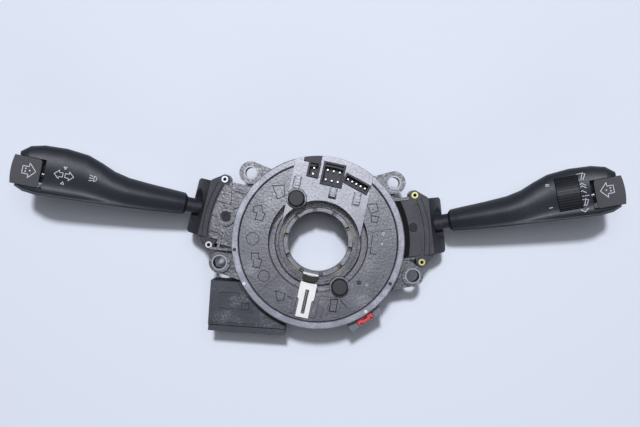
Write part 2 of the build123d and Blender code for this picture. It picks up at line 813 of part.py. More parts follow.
def build_plug_block():
    """The black socket block for the steering wheel's plugs, and its contact pins."""
    housing = joined(plug_blocks())
    tie_floor = plug_block_top - plug_block_depth
    tie = (disc_radius - 11.7, disc_radius - 5.2)
    housing += block(-15.0, 20.0, *tie, tie_floor, tie_floor + plug_floor)
    floor_z = plug_block_top - plug_block_depth + plug_floor
    pins = []
    for (x, y, width, height, turn), (columns, rows) in zip(wheel_sockets, socket_pin_counts):
        half_w, half_h = width / 2 - plug_wall, height / 2 - plug_wall
        cavity = block(-half_w, half_w, -half_h, half_h, floor_z, 90)
        housing -= Pos(x, y, 0) * Rot(0, 0, turn) * cavity & plug_limit(plug_wall)
        for column in range(columns):
            for row in range(rows):
                px = (column - (columns - 1) / 2) * 2 * half_w / columns
                py = (row - (rows - 1) / 2) * 2 * half_h / rows - 0.8 * (rows - 1)
                half = plug_pin_size / 2
                pin = block(px - half, px + half, py - half, py + half, floor_z, floor_z + plug_pin_height)
                pins.append(in_rotor(Pos(x, y, 0) * Rot(0, 0, turn) * pin))
    shoulder = block(-19.5, -8.8, disc_radius - 1.6, 80.0, disc_top + plate_thickness, plug_block_top - 0.8)
    shoulder &= rod(plate_outer_radius, 0, 90)
    housing += shoulder
    save("wheel_sockets", in_rotor(housing))
    save("wheel_socket_pins", *pins)


def build_connector_plate():
    """Raised plate on the rotor that carries the sockets, with its snap clips."""
    z0, z1 = disc_top, disc_top + plate_thickness
    plate = tube(plate_outer_radius, plate_inner_radius, z0, z1)
    plate &= block(-plate_half_width, plate_half_width, 8.0, 80.0, 0, 90)
    for x, y in drive_pin_places():
        plate -= rod(drive_boss_radius + slip, 0, 99, x, y)
    for plug in plug_blocks(slip / 2):
        plate -= plug
    for x, y, length in clip_places:
        plate -= block(x - 2.4, x + 2.4, y - length / 2 - 1.4, y + length / 2, 0, 99)
        spring_arm = block(x - 1.7, x + 1.7, y - length / 2, y + length / 2 + 0.4, z0 + 0.3, z1 + 0.5)
        plate += spring_arm
    save("connector_plate", in_rotor(plate))


# snap clips in the connector plate, in the rotor's own frame: x, y and length
clip_places = (
    (-20.6, disc_inner_radius + 2.6, 7.0),
    (2.4, disc_inner_radius + 1.2, 5.2),
    (17.6, disc_inner_radius + 0.6, 7.0),
)


def build_drive_pins():
    """Two drive pins with rubber caps that carry the rotor round with the wheel."""
    caps = []
    for x, y in drive_pin_places():
        cap = rod(drive_pin_radius, drive_boss_top, drive_pin_top, x, y)
        cap = fillet(cap.edges().group_by(Axis.Z)[-1], 1.2)
        cap += rod(2.2, boss_floor + 2, drive_boss_top, x, y)
        caps.append(in_rotor(cap))
    save("drive_pins", *caps)


def build_lock_slider():
    """White slider that locks the rotor when the wheel is off, and its return spring."""
    z0, z1 = lock_floor, lock_floor + lock_thickness
    inner = -lock_inner_radius
    outer = inner - lock_length
    step = inner - lock_length * 0.45
    half_w, half_n = lock_wide / 2, lock_narrow / 2
    points = [
        (-half_w, inner),
        (half_w, inner),
        (half_w, step),
        (half_n, step - 1.2),
        (half_n, outer),
        (-half_n, outer),
        (-half_n, step - 1.2),
        (-half_w, step),
    ]
    slider = outline(points, z0, z1)
    nose_z = crown_height + 1.4
    nose_end = inner + lock_nose_length
    slider += block(-half_w + 0.4, half_w - 0.4, inner - 1.6, inner + 0.3, nose_z, z1)
    nose = block(-half_w + 0.4, half_w - 0.4, inner, nose_end, nose_z, nose_z + lock_nose_thickness)
    nose += block(-half_w + 0.4, half_w - 0.4, nose_end - 1.1, nose_end, nose_z, nose_z + 3.4)
    nose -= rod(bore_radius + seat_gap, 0, 99)
    slider += nose
    half_s = lock_slot_width / 2
    slot_end = lock_slot_outer + lock_slot_length
    slider -= block(-half_s, half_s, lock_slot_outer, slot_end, 0, 99)
    save("lock_slider", in_rotor(slider))

    spring_start = lock_slot_outer + slip + lock_peg + 0.05
    spring = coil_spring(0.85, 0.18, slot_end - spring_start - 0.05, 9)
    spring = Pos(0, spring_start, (z0 + z1) / 2) * spring
    save("lock_spring", in_rotor(spring))


def coil_spring(radius, wire, length, turns):
    """A compression spring along +Y, as turns of wire cut square on a helix."""
    helix = Helix(length / turns, length - 2 * wire, radius - wire)
    start = helix @ 0
    section = Plane(origin=start, z_dir=helix % 0) * Rectangle(2 * wire, 2 * wire)
    wound = sweep(section, path=helix, is_frenet=True)
    return Rot(-90, 0, 0) * Pos(0, 0, wire) * wound


# ================================================================ connectors at the bottom
harness_left = -cassette_radius - 12.4
harness_right = -17.0
harness_edge_y = -cassette_radius - 3.0
harness_skirt = 4.4
harness_skirt_drop = 3.0
harness_bottom_y = harness_edge_y - harness_skirt
harness_top_y = harness_edge_y + 27.8
harness_clearance = 2.8
harness_back = 16.2
harness_front = carrier_top + 1.6
harness_wall = 2.0
harness_web = 2.2  # between the two bays
first_bay_width = 21.6
first_bay_depth = 24.2
second_bay_depth = 13.8
harness_pin_length = 3.2
harness_pin_pitch = 3.2
airbag_angle = -54.5
airbag_reach = 5.8  # beyond the cassette
airbag_half_width = 11.5
airbag_back = 24.0
airbag_front = carrier_top + 6.6
airbag_lock_half = 5.4
airbag_lock_setback = 1.2
airbag_lock_rise = 2.6
airbag_floor = carrier_top + 0.6


def harness_bays():
    """Left end, right end and inner wall of the two bays; the second stops short of the deck."""
    x0 = harness_left + harness_wall
    x1 = x0 + first_bay_width
    second_y = harness_bottom_y + second_bay_depth
    room = deck_radius + seat_gap + harness_wall
    x3 = -sqrt(max(room**2 - second_y**2, 1.0))
    return ((x0, x1, harness_bottom_y + first_bay_depth), (x1 + harness_web, x3, second_y))


def build_harness_box():
    """Two-bay socket for the car's harness, below the left side, and its contact pins."""
    box = block(harness_left, harness_right, harness_edge_y, harness_top_y, harness_back, harness_front)
    step_z = harness_front - harness_skirt_drop
    box += block(harness_left, harness_right, harness_bottom_y, harness_top_y, harness_back, step_z)
    box -= rod(drum_radius + seat_gap, 0, 99)
    box -= rod(cassette_clear + harness_clearance, carrier_top - slip, 99)
    box -= rod(deck_radius + seat_gap, carrier_top - deck_thickness - slip, 99)
    pins = []
    for x0, x1, inner_y in harness_bays():
        z0, z1 = harness_back + harness_wall, harness_front - 2 * harness_wall
        box -= block(x0, x1, harness_bottom_y - 1, inner_y, z0, z1)
        columns = int((x1 - x0) / harness_pin_pitch)
        for column in range(columns):
            for row in (-1, 1):
                x = x0 + (x1 - x0) * (column + 0.5) / columns
                z = (z0 + z1) / 2 + row * 3.5
                half = plug_pin_size / 2
                pin = block(x - half, x + half, inner_y - harness_pin_length, inner_y, z - half, z + half)
                pins.append(pin)
    for bay_y, length in ((19.8, 20.0), (9.8, 22.0)):
        y = harness_edge_y + bay_y
        x = harness_left + 6.2
        box -= block(x, x + length, y - 0.9, y + 0.9, harness_front - 1.2, 99)
    x, y = harness_left + 20.6, harness_edge_y + 9.6
    box -= block(x, x + 5.2, y, y + 5.2, harness_front - 1.5, 99)
    box += block(x + 0.8, x + 4.4, y + 1.0, y + 4.4, harness_front - 2.0, harness_front + 0.3)
    edge = harness_edge_y + 0.9
    box -= block(harness_left - 1, harness_left + 30.0, edge, edge + 0.7, harness_front - 0.8, 99)
    box = clear_of_ear(box)
    save("harness_box", box)
    save("harness_pins", *pins)


def clear_of_ear(shape):
    """Cuts a shape back from the lower left ear's root."""
    return shape - hull_of_circles(lower_ear_outline(-1, seat_gap), carrier_top - 13.4, carrier_top + 16.6)


def in_airbag(shape):
    """Moves a shape with X outwards to the airbag plug's place on the rim."""
    return Rot(0, 0, airbag_angle) * shape


def build_airbag_plug():
    """Grey plug of the airbag lead on the lower right rim, and its red lock."""
    reach = cassette_radius + airbag_reach
    half = airbag_lock_half
    lock_end = reach - airbag_lock_setback
    inner = cassette_clear + 0.4
    plug = block(drum_radius - 4, reach, -airbag_half_width, airbag_half_width, airbag_back, airbag_front)
    plug -= rod(drum_radius + seat_gap, 0, 99)
    plug -= rod(cassette_clear, carrier_top - slip, 99)
    plug -= rod(deck_radius + seat_gap, carrier_top - deck_thickness - slip, 99)
    plug -= block(inner - 5, lock_end + slip, -half - slip, half + slip, airbag_floor, 99)
    save("airbag_plug", in_airbag(plug))
    top = airbag_front + airbag_lock_rise
    lock = block(inner, lock_end, -half, half, airbag_floor + seat_gap, top)
    lock -= block(inner - 5, lock_end - 1.8, -1.6, 1.6, top - 4.6, 99)
    for y in (-3.6, 3.6):
        lock -= block(lock_end - 0.8, lock_end + 9, y - 0.7, y + 0.7, top - 3.0, 99)
    save("airbag_lock", in_airbag(lock))


# ================================================================ switch modules
def module_block(side, inset):
    """Outer form of a module, or its hollow where an inset is given."""
    shift = side.ring_shift
    outer_u = cavity_end if inset else module_face
    body = block(
        -24,
        outer_u,
        module_bottom_edge + inset,
        module_top_edge - inset,
        module_back - (1 if inset else 0),
        strip_height - inset if inset else module_height,
    )
    if not inset:
        body = fillet(body.edges().filter_by(Axis.Z).group_by(Axis.X)[-1], 2.4)
    body = in_module(body, side)
    body -= rod(drum_radius + seat_gap + inset, 0, 99)
    body -= rod(cassette_clear + 0.5 + inset, carrier_top - slip - inset, 99)
    body -= rod(deck_radius + seat_gap + inset, carrier_top - deck_thickness - slip - inset, 99)
    if inset:
        return body
    strip = strip_radius + shift
    groove = strip + groove_width
    band = groove + band_width
    lip = band + lip_width
    body -= rod(strip, strip_height, 99)
    body -= tube(groove, strip - 1, strip_height - 1.2, 99)
    body -= tube(band, groove - 0.01, module_height - 1.6, 99)
    body -= tube(150, lip, module_height - lip_height, 99)
    return body


def brow():
    """What the rounded fall of the front takes off, in the module's frame."""
    start = (module_face - brow_depth, 0, module_height)
    end = (module_face, 0, module_height - brow_drop)
    length = hypot(brow_depth, brow_drop)
    middle = (
        (start[0] + end[0]) / 2 + brow_bulge * brow_drop / length,
        0,
        (start[2] + end[2]) / 2 + brow_bulge * brow_depth / length,
    )
    fall = ThreePointArc(start, middle, end)
    rest = Polyline([end, (end[0] + 9, 0, end[2]), (end[0] + 9, 0, start[2] + 9), (start[0], 0, start[2] + 9), start])
    half = module_top_edge - module_bottom_edge
    return extrude(make_face([fall, rest]), amount=half, dir=(0, 1, 0), both=True)


def neck_window(side):
    """The way out for the neck, wider where the stalk swings further."""
    ends = []
    for reach, gap in ((8.0, window_gap), (25.0, 2 * window_gap)):
        swing = neck_radius + gap + reach * sin(radians(turn_room))
        tilt = neck_radius + gap + reach * sin(radians(beam_travel))
        ends.append(Pos(0, 0, reach) * Ellipse(tilt, swing))
    window = Rot(0, 90, 0) * loft(ends)
    return Pos(0, 0, pivot_height) * Rot(0, -stalk_rise, 0) * window


def build_switch_housing(side):
    """Moulded housing with the fall of its front, the neck's window and its two screw lugs."""
    body = module_block(side, 0.0)
    for v in (upper_screw_v, lower_screw_v):
        edge = module_top_edge - 1 if v > 0 else module_bottom_edge + 1
        lug = hull_of_circles(
            [(screw_offset, v, 3.0), (9.0, edge, 2.6), (0.6, edge, 1.6)],
            lug_floor,
            lug_floor + lug_thickness,
        )
        lug -= rod(screw_shank + pin_play, 0, 99, screw_offset, v)
        body += in_module(lug, side)
    body -= module_block(side, module_wall)
    pivot = (side.pivot_x, side.pivot_y)
    body -= Pos(*pivot, pivot_height) * Rot(0, 0, 180) * Sphere(pocket_clear)
    body += in_module(detent_track(side), side)
    body -= in_module(brow(), side)
    body -= in_module(neck_window(side), side)
    body -= rod(pivot_head_radius + slip, strip_height - pivot_head_thickness, 99, *pivot)
    body -= rod(pivot_pin_radius, strip_height - 6, 99, *pivot)
    save(f"{side.name}_switch_housing", handed(body, side))


def detent_track(side):
    """Curved track on the wall behind the pivot, notched for the plunger's rests."""
    radius = plunger_reach * cos(radians(stalk_rise)) + detent_gap
    wall = side.pivot_distance - drum_radius - 1.0
    track = block(-wall, -6, -6.5, 6.5, pivot_height - 8.0, pivot_height + 2.0)
    track -= rod(radius, 0, 99)
    behind = 180 + side.stalk_angle - module_tilt
    for step in side.rests:
        track -= rod(0.8, 0, 99, *polar(radius, behind + step * detent_step))
    return track


def build_switch_inside(side):
    """Lid, board, terminals and pivot pin of one module."""
    name = side.name
    pivot = (side.pivot_x, side.pivot_y)
    z0 = module_back
    lid = module_block(side, module_wall + slip / 2) & rod(200, z0, z0 + 1.8)
    for u, v in ((-4.5, -12.5), (-4.5, 12.0), (5.5, -12.5), (5.5, 12.0)):
        lid += in_module(rod(1.3, z0 + 1.8, z0 + 3.4, u, v), side)
    lid += rod(pivot_pin_radius, z0 + 1, pivot_height - cradle_half + cradle_bar, *pivot)
    lid -= in_module(block(2.4, 6.2, -8.0, 8.0, 0, 99), side)
    save(f"{name}_switch_lid", handed(lid, side))

    board_z = z0 + 3.4
    board = module_block(side, module_wall + 0.8) & rod(200, board_z, board_z + board_thickness)
    board -= rod(pivot_pin_radius + 0.6, 0, 99, *pivot)
    save(f"{name}_switch_board", handed(board, side))

    pins = []
    for i in range(6):
        v = -6.5 + 2.6 * i
        pin = block(3.8, 4.6, v - 0.4, v + 0.4, 9.6, board_z)
        pins.append(handed(in_module(pin, side), side))
    save(f"{name}_switch_terminals", *pins)

    head = rod(pivot_head_radius, strip_height - pivot_head_thickness, strip_height, *pivot)
    head -= Pos(*pivot, 0) * block(-1.8, 1.8, -0.4, 0.4, strip_height - 0.6, 99)
    floor_z = pivot_height + cradle_half - cradle_bar
    pin = head + rod(pivot_pin_radius, floor_z, strip_height - pivot_head_thickness, *pivot)
    save(f"{name}_pivot_pin", handed(pin, side))


def build_gimbal(side):
    """Cradle that turns about the pivot, the stalk's arm in it, and the pin that joins them."""
    name = side.name
    depth, half = cradle_half_depth, cradle_half
    cradle = block(-depth, depth, -half, half, -half, half)
    window = half - cradle_bar
    cradle -= block(-depth - 1, depth + 1, -window, window, -window, window)
    cradle -= rod(pivot_pin_radius + pin_play, -20, 20)
    cradle -= rod_y(cross_pin_radius, -20, 20)
    cradle &= Sphere(shield_radius - shield_wall - seat_gap)
    save(f"{name}_cradle", handed(in_cradle(cradle, side), side))

    pin = rod_y(cross_pin_radius, -half, half)
    save(f"{name}_cross_pin", handed(in_cradle(pin, side), side))

    hub_half = window - seat_gap
    arm = rod_y(hub_radius, -hub_half, hub_half)
    arm += rod_x(arm_radius, 0, 11.0)
    arm += rod_x(neck_radius, 10.8, along(handle_start) - 0.1)
    arm += rod_x(spigot_radius, 12.0, along(spigot_end))
    arm += rod_x(tail_radius, -tail_length, 0)
    arm -= rod_x(plunger_radius + pin_play, -tail_length - 1, -5.0)
    arm -= rod_y(cross_pin_radius + pin_play, -20, 20)
    save(f"{name}_stalk_arm", handed(in_stalk(arm, side), side))

    shield_arc = []
    for radius in (shield_radius, shield_radius - shield_wall):
        steps = [shield_hole_angle + i * (shield_angle - shield_hole_angle) / 6 for i in range(7)]
        arc = [polar(radius, 90 - angle) for angle in steps]
        shield_arc += arc if radius == shield_radius else arc[::-1]
    hole = arm_radius + 0.02
    shield_arc = [(hole, shield_arc[0][1]), *shield_arc, (hole, shield_arc[-1][1])]
    shield = Rot(0, 90, 0) * turned(shield_arc)
    save(f"{name}_dust_shield", handed(in_stalk(shield, side), side))

    tip = rod_x(plunger_radius, -plunger_reach + 0.9, -tail_length + 0.9)
    tip += Pos(-plunger_reach + 1.2, 0, 0) * Sphere(1.2)
    save(f"{name}_detent_plunger", handed(in_stalk(tip, side), side))
    spring = spring_between(-tail_length + 0.9, -5.0)
    save(f"{name}_detent_spring", handed(in_stalk(spring, side), side))


def spring_between(x0, x1, radius=1.4, wire=0.2, turns=3):
    """A compression spring along X between two places."""
    return Pos(x0, 0, 0) * Rot(0, 0, -90) * coil_spring(radius, wire, x1 - x0, turns)


# ================================================================ stalk handles
def handle_section(station, inset):
    """Closed section of a handle: a circle at the neck, squarer towards the paddle."""
    reach, top, bottom, front, back, squareness = station
    half_v = (top - bottom) / 2 - inset
    mid_v = (top + bottom) / 2
    steps = 4
    arcs = []
    for face, edge in ((1, front), (-1, -back)):
        points = []
        for i in range(steps + 1):
            c = cos(pi * i / steps)
            s = sqrt(max(1 - c * c, 0.0))
            v = mid_v + half_v * abs(c) ** (2 / squareness) * (1 if c > 0 else -1)
            w = face * (edge - inset) * s ** (2 / squareness)
            points.append(Vector(along(reach), v, w))
        arcs.append(Spline(points, tangents=[(0, 0, face), (0, 0, -face)]))
    return make_face(arcs)


def handle_body(inset=0.0, start=0.0):
    """The handle as one lofted solid, or its hollow where an inset is given."""
    stations = [s for s in handle_stations if start <= s[0] <= handle_end - inset]
    return loft([handle_section(station, inset) for station in stations], ruled=True)


def button_body(grow=0.0):
    """The push button's form at the end of a handle, grown where it has to be cleared."""
    start, end = along(button_start), along(button_end)
    if grow:
        start -= grow + button_travel
    half = button_half_width + grow
    front = button_front + (4 if grow else 0)
    crown = 40.0
    body = block(start, end + (9 if grow else 0), -half, half, button_back - grow, front)
    if grow:
        return body
    body &= Pos(end - crown, 0, 0) * rod(crown, -20, 20)
    return fillet(body.edges().filter_by(Axis.Z).group_by(Axis.X)[0], 1.6)


def wheel_slot(grow=0.0):
    """The window for the thumbwheel in the right handle's front."""
    x0, x1 = along(wheel_start) - grow, along(wheel_end) + grow
    y0, y1 = wheel_offset - wheel_slot_half, wheel_offset + wheel_slot_half
    return block(x0, x1, y0, y1, 2.0, 20.0)


def build_handle(side):
    """Front and back shells of a handle, its push button, spring and contact block."""
    name = side.name
    whole = handle_body() - handle_body(stalk_wall, hollow_start)
    spigot_bore = rod_x(spigot_radius, 0, along(hollow_start) + 1)
    for face, shell in ((1, "front"), (-1, "back")):
        near, far = sorted((face * stalk_seam / 2, face * 40))
        body = whole & block(0, 200, -50, 50, near, far)
        body -= spigot_bore
        body -= button_body(slip)
        if side is right:
            if face > 0:
                body -= wheel_slot(slip)
            for cheek in wheel_bearings(face):
                body += cheek
        save(f"{name}_stalk_{shell}", handed(in_stalk(body, side), side))

    contact_x = along(button_start) - contact_gap
    contact = block(contact_x - contact_thickness, contact_x, -8.0, 8.0, -20, 20)
    contact &= handle_body(stalk_wall + slip, hollow_start)
    contact -= rod_x(1.1, contact_x - 9, contact_x + 9)
    save(f"{name}_button_contact", handed(in_stalk(contact, side), side))

    button = button_body()
    button += rod_x(1.0, contact_x - 0.5, along(button_start) + 1)
    save(f"{name}_end_button", handed(in_stalk(button, side), side))
    spring = spring_between(contact_x, along(button_start), 1.9, 0.22, 4)
    save(f"{name}_button_spring", handed(in_stalk(spring, side), side))


def wheel_bearings(face):
    """Cheeks inside one half of the right handle that hold the thumbwheel's axle."""
    cheeks = []
    z0, z1 = (stalk_seam / 2, 5.2) if face > 0 else (-6.6, -stalk_seam / 2)
    for x in (along(wheel_start) - slip - 1.6, along(wheel_end) + slip):
        cheek = block(x, x + 1.6, wheel_offset - 4, wheel_offset + 4, z0, z1)
        cheek -= Pos(0, wheel_offset, wheel_axis_depth) * rod_x(axle_radius + pin_play, 0, 200)
        cheeks.append(cheek)
    return cheeks


def build_thumbwheel():
    """Ribbed thumbwheel, a wide sector on its axle, in the right handle."""
    x0, x1 = along(wheel_start), along(wheel_end)
    drum = rod_x(wheel_radius - 0.5, x0, x1)
    reach = 40.0
    side_y = reach * sin(radians(wheel_half_angle))
    side_z = reach * cos(radians(wheel_half_angle))
    wedge = Polyline([(x0 - 1, 0, -0.6), (x0 - 1, side_y, side_z), (x0 - 1, 0, reach), (x0 - 1, -side_y, side_z)], close=True)
    sector = extrude(make_face(wedge), amount=x1 - x0 + 2, dir=(1, 0, 0))
    drum &= sector
    for i in range(wheel_ribs):
        angle = wheel_half_angle * (2 * i / (wheel_ribs - 1) - 1) * 0.94
        tall = 0.9 if i == wheel_ribs // 2 else 0.0
        rib = block(x0, x1, -0.55, 0.55, wheel_radius - 1.2, wheel_radius + tall)
        drum += Rot(angle, 0, 0) * rib
    drum += rod_x(axle_radius + 0.4, x0, x1)
    drum += rod_x(axle_radius, x0 - 1.6, x1 + 1.6)
    drum = Pos(0, wheel_offset, wheel_axis_depth) * drum
    save("thumbwheel", in_stalk(drum, right))


def build_module_screws():
    """The four yellow-plated screws that hold the modules in their pockets."""
    screws = []
    for side in (left, right):
        for v in (upper_screw_v, lower_screw_v):
            z = lug_floor + lug_thickness
            head = rod(screw_head, z, z + screw_head_height, screw_offset, v)
            head -= Pos(screw_offset, v, z + 0.8) * extrude(RegularPolygon(1.2, 6), 3)
            shank = rod(screw_shank, lug_floor - slip - screw_length, z, screw_offset, v)
            screws.append(handed(in_module(head + shank, side), side))
    save("module_screws", *screws)


# ================================================================ build
build_gears()
build_sensor()
build_crown_tube()
build_carrier()
build_cassette()
build_rotor_disc()
build_plug_block()
build_connector_plate()
build_drive_pins()
build_lock_slider()
build_harness_box()
build_airbag_plug()
for each_side in (left, right):
    build_switch_housing(each_side)
    build_switch_inside(each_side)
    build_gimbal(each_side)
    build_handle(each_side)
build_thumbwheel()
build_module_screws()
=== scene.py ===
"""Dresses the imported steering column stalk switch: finishes, signs, small marks and light."""

import json
import logging
from dataclasses import dataclass
from enum import Enum
from math import atan2, cos, hypot, pi, radians, sin

import bpy
from bpy.types import Material, Node, NodeSocket, NodeTree, Object
from mathutils import Matrix, Vector


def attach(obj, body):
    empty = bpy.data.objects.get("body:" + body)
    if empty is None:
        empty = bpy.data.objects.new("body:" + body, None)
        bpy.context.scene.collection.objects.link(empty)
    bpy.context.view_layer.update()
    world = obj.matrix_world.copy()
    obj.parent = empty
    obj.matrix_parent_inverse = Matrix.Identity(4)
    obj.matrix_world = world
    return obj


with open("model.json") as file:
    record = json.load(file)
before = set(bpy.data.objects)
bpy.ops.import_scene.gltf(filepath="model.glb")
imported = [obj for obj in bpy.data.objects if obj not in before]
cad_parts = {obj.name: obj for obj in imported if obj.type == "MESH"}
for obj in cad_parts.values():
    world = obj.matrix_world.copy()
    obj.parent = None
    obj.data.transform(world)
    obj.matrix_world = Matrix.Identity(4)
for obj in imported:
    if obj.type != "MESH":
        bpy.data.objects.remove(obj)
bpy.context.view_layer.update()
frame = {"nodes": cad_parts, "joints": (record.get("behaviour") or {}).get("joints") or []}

MM = 0.001
DISC_TOP = 61.2  # height of the rotor disc's face, in millimetres
RIM_TOP = 60.6  # height of the cassette rim's face
FACING_UP = 0.9  # least upward share in the normal of a face that looks up
log = logging.getLogger("stalk_switch")

# the numbers of a colour Mix node's sockets, because their names repeat
MIX_FACTOR, MIX_A, MIX_B, MIX_RESULT = 0, 6, 7, 2


# ------------------------ small helpers
def linear(hex_colour: str) -> tuple:
    """Turns an sRGB hex colour into the linear values that a shader takes.

    Args:
        hex_colour: The colour as "#rrggbb".

    Returns:
        Linear red, green, blue and an alpha of 1.
    """
    channels = [int(hex_colour[i:i + 2], 16) / 255 for i in (1, 3, 5)]
    curve = [c / 12.92 if c <= 0.04045 else ((c + 0.055) / 1.055) ** 2.4 for c in channels]
    return (*curve, 1.0)


def add_node(
    tree: NodeTree, kind: str, settings: dict | None = None, links: dict | None = None
) -> Node:
    """Adds a shader node with its settings and links.

    Args:
        tree: The node tree that gets the node.
        kind: The node's Blender type.
        settings: Properties by name, and the values of inputs by name or number.
        links: Output sockets by the name or number of the input that each one feeds.

    Returns:
        The new node.
    """
    node = tree.nodes.new(kind)
    for name, value in (settings or {}).items():
        if isinstance(name, int) or name in node.inputs:
            node.inputs[name].default_value = value
        else:
            setattr(node, name, value)
    for name, output in (links or {}).items():
        tree.links.new(output, node.inputs[name])
    return node


def per_metre(size_mm: float) -> float:
    """The texture scale at which one feature is as wide as a size in millimetres."""
    return 1000.0 / size_mm


def deselect_all() -> None:
    """Clears the selection, which the loaded frame leaves on the CAD nodes."""
    bpy.ops.object.select_all(action="DESELECT")


def only(obj: Object) -> Object:
    """Makes one object the only selected and the active one.

    Args:
        obj: The object.

    Returns:
        The same object.
    """
    deselect_all()
    obj.select_set(True)
    bpy.context.view_layer.objects.active = obj
    return obj


def switch_to(mode: str) -> None:
    """Switches the active object to its EDIT or its OBJECT mode."""
    bpy.ops.object.mode_set(mode=mode)


def deselect_mesh(obj: Object) -> None:
    """Clears the selection inside a mesh, so that its points or faces can be picked.

    Args:
        obj: The object that holds the mesh.
    """
    only(obj)
    switch_to("EDIT")
    bpy.ops.mesh.select_all(action="DESELECT")
    switch_to("OBJECT")


def apply_place(obj: Object) -> None:
    """Moves an object's place, turn and scale into its mesh."""
    only(obj)
    bpy.ops.object.transform_apply(location=True, rotation=True, scale=True)


def apply_modifiers(obj: Object) -> None:
    """Applies every modifier of an object, in order.

    Args:
        obj: The object.
    """
    only(obj)
    for modifier in list(obj.modifiers):
        bpy.ops.object.modifier_apply(modifier=modifier.name)


def join(pieces: list[Object], name: str) -> Object:
    """Joins several mesh objects into one.

    Args:
        pieces: The objects, of which the first one stays.
        name: The name of the result.

    Returns:
        The joined object.
    """
    deselect_all()
    for piece in pieces:
        piece.select_set(True)
    bpy.context.view_layer.objects.active = pieces[0]
    if len(pieces) > 1:
        bpy.ops.object.join()
    whole = bpy.context.view_layer.objects.active
    whole.name = whole.data.name = name
    return whole


# ------------------------ finishes
@dataclass(frozen=True)
class Finish:
    """A finish with its two colours and its roughness, which builds its material once."""

    name: str
    colour: str
    light: str
    roughness: float

    def shade(self, tree: NodeTree, shader: Node) -> None:
        """Sets the shader's sockets; each kind of finish has its own way.

        Args:
            tree: The material's node tree.
            shader: Its Principled BSDF node.
        """
        raise NotImplementedError

    def material(self) -> Material:
        """Makes the finish's material at its first use, and finds it again after that.

        Returns:
            The material.
        """
        found = bpy.data.materials.get(self.name)
        if found:
            return found
        made = bpy.data.materials.new(self.name)
        made.use_nodes = True
        tree = made.node_tree
        self.shade(tree, tree.nodes["Principled BSDF"])
        return made


def put_on(obj: Object, finish: Finish) -> None:
    """Dresses an object in one finish.

    Args:
        obj: A CAD node or a new piece.
        finish: The finish it gets on all its faces.
    """
    obj.data.materials.clear()
    obj.data.materials.append(finish.material())


